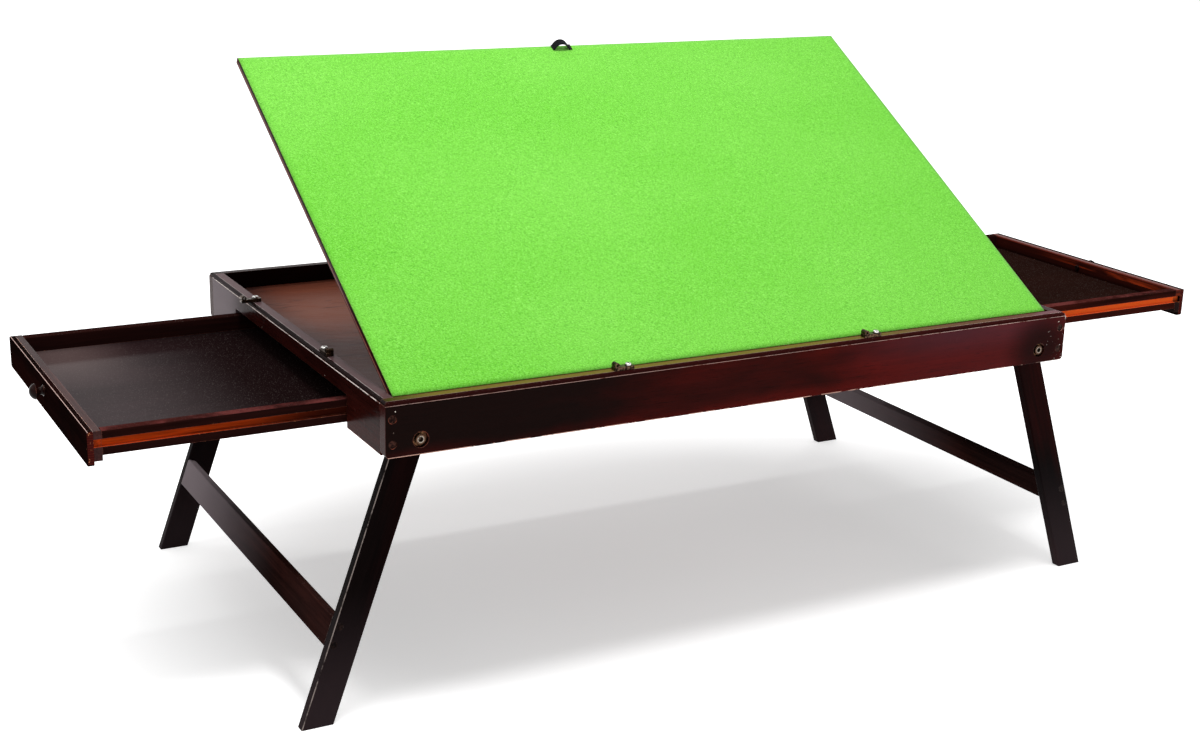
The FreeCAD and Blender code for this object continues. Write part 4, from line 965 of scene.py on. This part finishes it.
# %% [markdown]
# ## Mesh helpers
# New pieces are built as plain lists of corners and faces. Many of them are lofts: rings of corners
# that follow one another and are joined by faces, as a boat is planked over its frames. One helper
# turns such lists into an object that rides on a body of the table, so that it moves with it.

# %% Helpers for new pieces
def make_piece(name, points, faces, material, body):
    """A smooth mesh object from corners and faces, riding on a body of the table."""
    mesh = bpy.data.meshes.new(name)
    mesh.from_pydata([tuple(point) for point in points], [], faces)
    mesh.validate()
    mesh.materials.append(material)
    mesh.polygons.foreach_set("use_smooth", [True] * len(mesh.polygons))
    piece = stand(name, mesh)
    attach(piece, body)
    return piece


def loft(rings):
    """Corners and faces of a closed form: rings joined one after another, with both ends capped."""
    points = [point for ring in rings for point in ring]
    count = len(rings[0])
    faces = []
    for here in range(0, len(points) - count, count):
        for step in range(count):
            after = (step + 1) % count
            faces.append((here + step, here + after, here + count + after, here + count + step))
    faces.append(tuple(reversed(range(count))))
    faces.append(tuple(range(len(points) - count, len(points))))
    return points, faces


def on_board(across, up, out):
    """A point of the tilted board: along its length, up its face and out from it."""
    return BOARD_FOOT + X_AXIS * across + BOARD_UP * up + BOARD_NORMAL * out


FELT_LOW_UP, FELT_HIGH_UP = reach("board_felt", BOARD_UP)
FELT_UNDER, FELT_OVER = reach("board_felt", BOARD_NORMAL)
BOARD_FOOT = BOARD_UP * FELT_LOW_UP + BOARD_NORMAL * FELT_UNDER
FELT_LEFT, FELT_RIGHT = [corner.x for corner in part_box("board_felt")]
FELT_WIDTH = FELT_RIGHT - FELT_LEFT
FELT_DEPTH = FELT_HIGH_UP - FELT_LOW_UP
FELT_THICKNESS = FELT_OVER - FELT_UNDER
print("felt is", round(FELT_WIDTH, 4), "by", round(FELT_DEPTH, 4), "and", round(FELT_THICKNESS, 4), "thick")

# %% [markdown]
# ## The felt
# Needle felt is a mat of crossed fibres. Close to, it is a field of short curls with tiny hollows
# between them, and it is a little lighter where the nap is brushed up. Hair particles would show each
# fibre but would be far too many. A thin closed sheet with a fibre pattern in its bump and colour
# gives the same look. Its surface also swells very slightly, as glue never pulls cloth quite flat.

# %% Felt material
NAP_ANGLE = math.radians(38)
NAP_DEPTH = 1.2 * MM
NAP_LAYERS = ((NAP_ANGLE, (560, 1500, 1200), 0.72), (-NAP_ANGLE, (800, 1750, 1300), 0.28))


def felt_material():
    """Bright green needle felt with its fibres crossed two ways."""
    shader, at, material = new_material("green felt")
    flat = turned(at, (-BOARD_TILT, 0, 0))
    first, second = [noise(turned(flat, (0, 0, angle)), scales, 3, 0.6, 0.4) * share
                     for angle, scales, share in NAP_LAYERS]
    curls = first + second
    fluff = noise(flat, 2400, 2, 0.6)
    brushed = noise(flat, (3.5, 5, 5), 3, 0.5)
    colour = blend(spread(brushed, 0.2, 0.8), (116, 214, 56), (130, 222, 74))
    colour = blend(spread(curls, 0.50, 0.38) * 0.75, colour, (56, 154, 24))
    colour = blend(spread(curls, 0.52, 0.64) * 0.7, colour, (176, 250, 128))
    colour = blend(spread(fluff, 0.62, 0.8, 0.0, 0.35), colour, (184, 250, 134))
    relief = bump(curls + fluff * 0.25, NAP_DEPTH, 0.55)
    fill(shader, {"Base Color": colour, "Normal": relief, "Roughness": 0.92, "Specular IOR Level": 0.15,
                  "Sheen Weight": 0.12})
    return material


FELT = felt_material()

# %% Felt sheet
FELT_CELL = 6 * MM
FELT_SWELL = 0.10 * MM
FELT_EDGE_ROLL = 0.7 * MM
SWELL_WAVES = ((37, 11), (-7, 29))


def felt_sheet():
    """The felt as a thin closed sheet: a swelling top whose rim rolls down to a flat back."""
    columns = round(FELT_WIDTH / FELT_CELL)
    rows = round(FELT_DEPTH / FELT_CELL)
    points = []
    for layer in (1, 0):
        for row in range(rows + 1):
            for column in range(columns + 1):
                across = FELT_LEFT + FELT_WIDTH * column / columns
                up = FELT_DEPTH * row / rows
                rim = row in (0, rows) or column in (0, columns)
                swell = math.prod(math.sin(across * along + up * over) for along, over in SWELL_WAVES)
                top = FELT_THICKNESS - FELT_SWELL + swell * FELT_SWELL
                out = (top - FELT_EDGE_ROLL if rim else top) if layer else 0.0
                points.append(on_board(across, up, out))
    wide = columns + 1
    count = (rows + 1) * wide
    faces = []
    for row in range(rows):
        for column in range(columns):
            low = row * wide + column
            faces.append((low, low + 1, low + wide + 1, low + wide))
            faces.append((low + count, low + wide + count, low + wide + 1 + count, low + 1 + count))
    ring = list(range(wide)) + [row * wide + columns for row in range(1, rows + 1)]
    ring += [rows * wide + column for column in range(columns - 1, -1, -1)]
    ring += [row * wide for row in range(rows - 1, 0, -1)]
    for here, there in zip(ring, ring[1:] + ring[:1]):
        faces.append((there, here, here + count, there + count))
    piece = make_piece("felt_sheet", points, faces, FELT, "board")
    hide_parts("board_felt")
    print("felt sheet has", len(piece.data.polygons), "faces")


felt_sheet()

# %% [markdown]
# ## The pull tab
# A short loop of woven webbing is glued over the middle of the board's top edge, so that the board can
# be lifted with one finger. Webbing has fine ribs across it and a thicker woven border along each side.
# A curve with a bevel could make a strap, but its ribs would be only painted. Here the strap is laid
# out as a grid along its own arch, so ribs and borders are real, and stitches hold its two ends down.

# %% Webbing material
WARP_WAVE = 9000
WEFT_WAVE = 7000
WEAVE_DEPTH = 0.3 * MM


def webbing_material():
    """Black woven webbing, greyer where it has rubbed."""
    shader, at, material = new_material("black webbing")
    flat = turned(at, (-BOARD_TILT, 0, 0))
    weave = sums("SINE", flat.x * WARP_WAVE) * sums("SINE", flat.y * WEFT_WAVE) * 0.5 + 0.5
    arris = place_group(ARRIS, {"Place": at, "Reach": 0.0007, "Rub": 0.9, "Nicks": 0.0})
    colour = blend(weave, (5, 5, 7), (20, 21, 25))
    colour = blend(arris["Rubbed"] * 0.4, colour, (96, 98, 98))
    fray = noise(at, 5200, 2, 0.6)
    relief = bump(weave + fray * 0.5, WEAVE_DEPTH, 0.8)
    fill(shader, {"Base Color": colour, "Roughness": spread(fray, 0.3, 0.7, 0.55, 0.8), "Normal": relief,
                  "Specular IOR Level": 0.1})
    return material


WEBBING = webbing_material()

# %% Webbing strap
TAB_LOW, TAB_HIGH = [up - FELT_LOW_UP for up in reach("pull_tab", BOARD_UP)]
TAB_TOP = reach("pull_tab", BOARD_NORMAL)[1] - FELT_UNDER
TAB_LEFT, TAB_RIGHT = [corner.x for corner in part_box("pull_tab")]
TAB_MIDDLE = (TAB_LEFT + TAB_RIGHT) / 2
TAB_HALF = (TAB_RIGHT - TAB_LEFT) / 2
TAB_THICKNESS = 1.5 * MM
TAB_FOOT = 2 * MM
TAB_LEAN = 3 * MM
TAB_PROUD = 4 * MM
TAB_ARCH = 2.4
TAB_RIB = 0.06 * MM
TAB_BORDER = 0.62
TAB_STEPS = 64
TAB_ACROSS = 14
LENGTH_STEPS = 200


def tab_line(share):
    """The strap's centre line from one end to the other: (along the board's length, out from it)."""
    across = -TAB_HALF + 2 * TAB_HALF * share
    lean = (across + TAB_LEAN * (1 - (across / TAB_HALF) ** 2)) / (TAB_HALF - TAB_FOOT)
    lift = max(0.0, 1 - abs(lean) ** TAB_ARCH)
    low = FELT_THICKNESS + TAB_THICKNESS * 0.55
    high = TAB_TOP + TAB_PROUD - TAB_THICKNESS * 0.6
    return across, low + (high - low) * lift


def tab_section(side):
    """Half the strap's thickness across its width: fuller in its two woven borders."""
    end = max(0.0, 1 - max(0.0, abs(side) - 0.9) / 0.1)
    return TAB_THICKNESS * (0.5 if abs(side) > TAB_BORDER else 0.40) * (0.45 + 0.55 * math.sqrt(end))


def webbing_strap():
    """The loop of webbing, with its arch, ribs and borders."""
    width = TAB_HIGH - TAB_LOW
    sides = [-1 + 2 * place / TAB_ACROSS for place in range(TAB_ACROSS + 1)]
    rings = []
    for step in range(TAB_STEPS + 1):
        share = step / TAB_STEPS
        across, out = tab_line(share)
        before, after = tab_line(max(0, share - 0.01)), tab_line(min(1, share + 0.01))
        run = Vector((after[0] - before[0], after[1] - before[1])).normalized()
        rib = TAB_RIB * math.cos(step * math.pi)
        ring = []
        for side, face in [(side, 1) for side in sides] + [(side, -1) for side in reversed(sides)]:
            offset = Vector((-run.y, run.x)) * (tab_section(side) + rib) * face
            up = TAB_LOW + width * (side + 1) / 2
            ring.append(on_board(TAB_MIDDLE + across + offset.x, up, out + offset.y))
        rings.append(ring)
    piece = make_piece("pull_tab_webbing", *loft(rings), WEBBING, "board")
    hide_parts("pull_tab")
    line = [Vector(tab_line(step / LENGTH_STEPS)) for step in range(LENGTH_STEPS + 1)]
    length = sum((after - before).length for before, after in zip(line, line[1:]))
    print("webbing strap is", round(length, 4), "long and", round(width, 4), "wide")
    return piece, length, width

# %% Stitches of the strap
STITCH_LENGTH = 1.5 * MM
STITCH_PITCH = 1.25
STITCH_RADIUS = 0.16 * MM
STITCH_INSET = 2.4 * MM


def tab_stitches():
    """A row of stitches through each end of the strap, as one curve object."""
    curve = bpy.data.curves.new("pull_tab_stitches", "CURVE")
    curve.dimensions = "3D"
    curve.bevel_depth = STITCH_RADIUS
    curve.bevel_resolution = 2
    top = FELT_THICKNESS + TAB_THICKNESS * 1.02
    outs = (top - STITCH_RADIUS * 2, top, top, top - STITCH_RADIUS * 2)
    count = int((TAB_HIGH - TAB_LOW) / (STITCH_LENGTH * STITCH_PITCH))
    for side, number in [(side, number) for side in (-1, 1) for number in range(count)]:
        across = TAB_MIDDLE + side * (TAB_HALF - STITCH_INSET)
        low = TAB_LOW + STITCH_LENGTH * (STITCH_PITCH - 1 + STITCH_PITCH * number)
        spline = curve.splines.new("NURBS")
        spline.points.add(len(outs) - 1)
        ups = (low, low, low + STITCH_LENGTH, low + STITCH_LENGTH)
        for point, up, out in zip(spline.points, ups, outs):
            point.co = (*on_board(across, up, out), 1)
        spline.order_u = 3
        spline.use_endpoint_u = True
    curve.materials.append(WEBBING)
    piece = stand("pull_tab_stitches", curve)
    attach(piece, "board")
    return piece


STRAP, STRAP_LENGTH, STRAP_WIDTH = webbing_strap()
STITCHES = tab_stitches()

# %% [markdown]
# ## Brads and hinge screws
# Brads are the thin headless nails that hold a frame while its glue sets. Their heads sit in small
# punched dimples that were never filled. Each is spun here from a short outline, like work on a lathe:
# a ring of lacquer pushed up round a dimple, and the bright or dark nail end inside it.

# %% Spun fastener heads
SPIN_STEPS = 20


def spun_pieces(name, outline, places, material, body):
    """Many heads as one piece. Each is an outline (radius, height) turned about its own direction."""
    angles = [2 * math.pi * step / SPIN_STEPS for step in range(SPIN_STEPS)]
    points, faces = [], []
    for centre, outward in places:
        side = outward.orthogonal().normalized()
        other = outward.cross(side)
        spokes = [side * math.cos(angle) + other * math.sin(angle) for angle in angles]
        rings = [[centre + spoke * radius + outward * height for spoke in spokes]
                 for radius, height in outline]
        head, cells = loft(rings)
        faces += [[corner + len(points) for corner in cell] for cell in cells]
        points += head
    print(name, "has", len(places), "heads")
    return make_piece(name, points, faces, material, body)


BRAD_OUTLINE = [(0.62 * MM, -0.30 * MM), (0.62 * MM, 0.02 * MM), (0.54 * MM, 0.10 * MM),
                (0.42 * MM, 0.07 * MM), (0.34 * MM, -0.02 * MM), (0.05 * MM, 0.04 * MM)]
BRAD_METAL = metal("brad steel", (206, 196, 184), (120, 92, 74), 0.4, 0.3)
DULL_BRAD_METAL = metal("dull brad steel", (104, 90, 82), (60, 44, 38), 0.6, 0.4)
CORNER_BRAD_INSETS = (10.5 * MM, 8.3 * MM)
CORNER_BRAD_DROPS = (9.9 * MM, 31.2 * MM)
END_BRAD_PLACES = (84.4 * MM, -121.0 * MM)
END_BRAD_DROP = 18.5 * MM


def case_brads():
    """Brads at the four corners and along the tray floor's ends. The lower ones get a darker metal."""
    places, dull_places = [], []
    for face, outward in ((FRONT_FACE, -Y_AXIS), (BACK_FACE, Y_AXIS)):
        for inset, drop, row in zip(CORNER_BRAD_INSETS, CORNER_BRAD_DROPS, (places, dull_places)):
            row.append((Vector((LEFT_FACE + inset, face, RIM_TOP - drop)), outward))
            row.append((Vector((RIGHT_FACE - inset, face, RIM_TOP - drop)), outward))
    spun_pieces("dull_brads", BRAD_OUTLINE, dull_places, DULL_BRAD_METAL, "case")
    for face, outward in ((LEFT_FACE, -X_AXIS), (RIGHT_FACE, X_AXIS)):
        for y in END_BRAD_PLACES:
            places.append((Vector((face, y, RIM_TOP - END_BRAD_DROP)), outward))
    spun_pieces("case_brads", BRAD_OUTLINE, places, BRAD_METAL, "case")


case_brads()

# %% Hinge screws
HINGE_SCREW_OUTLINE = [(2.3 * MM, -0.30 * MM), (2.3 * MM, 0.02 * MM), (2.0 * MM, 0.09 * MM),
                       (0.8 * MM, 0.10 * MM), (0.6 * MM, -0.10 * MM), (0.05 * MM, -0.12 * MM)]
HINGE_SCREW_METAL = metal("hinge screw steel", (150, 132, 104), (64, 50, 36), 0.5, 0.3)
THREE_SCREWS = ((0.17, 0.5), (0.5, 0.5), (0.83, 0.5))
TWO_SCREWS = ((0.25, 0.5), (0.75, 0.5))
LEAF_STEP = 100 * MM
LEAF_FLATNESS = 0.05 * MM


def leaf_screws(node, outward, shares):
    """Places on the flat face of every hinge leaf of a node, at shares of its width and length."""
    mesh = NODES[node].data
    leaves = {}
    for face in mesh.polygons:
        if face.normal.dot(outward) > 0.999:
            leaves.setdefault(round((face.center.x - CASE_MIDDLE) / LEAF_STEP), []).append(face)
    axes = (X_AXIS, outward.cross(X_AXIS))
    places = []
    for faces in leaves.values():
        level = max(faces, key=lambda face: face.area).center.dot(outward)
        flat = [face for face in faces if abs(face.center.dot(outward) - level) < LEAF_FLATNESS]
        corners = [mesh.vertices[index].co for face in flat for index in face.vertices]
        for share in shares:
            place = outward * level
            for axis, part in zip(axes, share):
                spots = [corner.dot(axis) for corner in corners]
                place = place + axis * (min(spots) + part * (max(spots) - min(spots)))
            places.append((place, outward))
    return places


PROP_NORMAL = Vector((0, -BOARD_NORMAL.y, BOARD_NORMAL.z))
for node, outward, shares, body in (
        ("rail_hinge_leaves", Y_AXIS, THREE_SCREWS, "case"),
        ("board_hinge_leaves", -BOARD_NORMAL, THREE_SCREWS, "board"),
        ("prop_board_leaves", -BOARD_NORMAL, TWO_SCREWS, "board"),
        ("prop_leaves", PROP_NORMAL, TWO_SCREWS, "prop")):
    spun_pieces(node.replace("leaves", "screws"), HINGE_SCREW_OUTLINE, leaf_screws(node, outward, shares),
                HINGE_SCREW_METAL, body)

# %% [markdown]
# ## The studio
# The table stands on a pale floor in a white room. One softbox hangs high over it, a little to the
# front, and drops a soft shadow under it. A weaker one at the right warms the red in the stain, and
# two strip lights behind and beside it rim the top edges. The room's own light is low and even. To the
# camera and to reflections the room is plain white.

# %% Light the room
ROOM_LIGHT = 0.40
WHITE = (255, 255, 255)


def seen_white(tree):
    """1 to the camera, to reflections and through glass, 0 to all other light."""
    path = add(tree, "ShaderNodeLightPath")
    clear = sums("MAXIMUM", path["Is Glossy Ray"], path["Is Transmission Ray"])
    return sums("MAXIMUM", path["Is Camera Ray"], clear)


def paint_room():
    """White to the camera and in reflections, a lower even light on everything else."""
    world = bpy.data.worlds.new("white room")
    bpy.context.scene.world = world
    world.use_nodes = True
    tree = world.node_tree
    tree.nodes.clear()
    light, white = [add(tree, "ShaderNodeBackground", {"Color": WHITE, "Strength": strength})[0]
                    for strength in (ROOM_LIGHT, 1.0)]
    mix = add(tree, "ShaderNodeMixShader", {0: seen_white(tree), 1: light, 2: white})[0]
    add(tree, "ShaderNodeOutputWorld", {"Surface": mix})


def softbox(name, place, aim, width, height, watts):
    """A rectangular area lamp aimed at a point."""
    data = bpy.data.lights.new(name, "AREA")
    data.shape = "RECTANGLE"
    data.size = width
    data.size_y = height
    data.energy = watts
    lamp = stand(name, data)
    lamp.location = place
    lamp.rotation_euler = (Vector(aim) - Vector(place)).to_track_quat("-Z", "Y").to_euler()


SOFTBOXES = (("key softbox", (-0.25, -0.6, 2.35), (0.05, 0.05, 0.1), 0.6, 0.45, 28),
             ("right softbox", (2.2, -0.9, 1.1), (0.2, 0, 0.25), 0.9, 1.2, 6),
             ("long strip light", (0, 1.1, 2.0), (0, 0, 0.3), 2.6, 0.09, 7),
             ("end strip light", (-1.7, 0.3, 1.7), (-0.4, 0, 0.3), 0.09, 2.0, 3))
paint_room()
for row in SOFTBOXES:
    softbox(*row)
print("the room is lit by", len(SOFTBOXES), "softboxes")

# %% [markdown]
# ## The floor
# The floor is one big disc that fades to pure white away from the table, so that no horizon shows.
# Near the table it is ordinary matt paint with a little white glow added, so that the lit floor is
# white and the real soft shadow stays. The fade is an oval, longer along the table.

# %% Lay the floor
FLOOR_RADIUS = 9.0
FLOOR_SIDES = 96
FLOOR_FADE_CENTRE = (0.0, -0.02, 0)
FLOOR_FADE_SHAPE = (1.15, 1.6, 1)
FLOOR_FADE_START = 0.48
FLOOR_FADE_END = 0.98
FLOOR_LIFT = 0.42
FLOOR_PAINT = (0.90, 0.90, 0.90, 1)
FLOOR_GAP = 0.2 * MM


def floor_material():
    """Matt white paint, glowing white towards its far edge for the camera and for reflections."""
    shader, at, material = new_material("studio floor")
    tree = at.tree
    oval = add(tree, "ShaderNodeMapping", {"Vector": at, "Scale": FLOOR_FADE_SHAPE})[0]
    away = vectors("DISTANCE", oval, FLOOR_FADE_CENTRE)
    fade = spread(away, FLOOR_FADE_START, FLOOR_FADE_END, FLOOR_LIFT, 1.0)
    glow = add(tree, "ShaderNodeEmission", {"Color": WHITE, "Strength": fade * seen_white(tree)})[0]
    lifted = add(tree, "ShaderNodeAddShader", {0: Wire(shader.outputs[0]), 1: glow})[0]
    fill(tree.nodes["Material Output"], {"Surface": lifted})
    rough = spread(noise(at, 90, 3, 0.6), 0.2, 0.8, 0.85, 0.95)
    fill(shader, {"Base Color": FLOOR_PAINT, "Roughness": rough, "Specular IOR Level": 0.1})
    return material


def lay_floor():
    """A round floor just under the feet."""
    work = bmesh.new()
    bmesh.ops.create_circle(work, cap_ends=True, segments=FLOOR_SIDES, radius=FLOOR_RADIUS)
    mesh = bpy.data.meshes.new("studio_floor")
    work.to_mesh(mesh)
    work.free()
    mesh.materials.append(floor_material())
    floor = stand("studio_floor", mesh)
    floor.location.z = CAD_BOX[0][2] - FLOOR_GAP
    floor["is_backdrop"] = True
    return floor


print("floor lies at", round(lay_floor().location.z, 5))

# %% [markdown]
# ## Colour and sizes
# The Standard view shows a colour as it was written. The two boxes are kept, one of the bare table and
# one of the finished table, to prove that no finish made the table bigger.

# %% Set the view, write the sizes and finish
bpy.context.scene.view_settings.view_transform = "Standard"
VISUAL_BOX = [list(corner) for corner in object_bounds()]
GROWTH = [round((high - low) / MM - side / MM, 2) for low, high, side in zip(*VISUAL_BOX, TABLE_SIZE)]
print("the finish adds", GROWTH, "mm along each side")
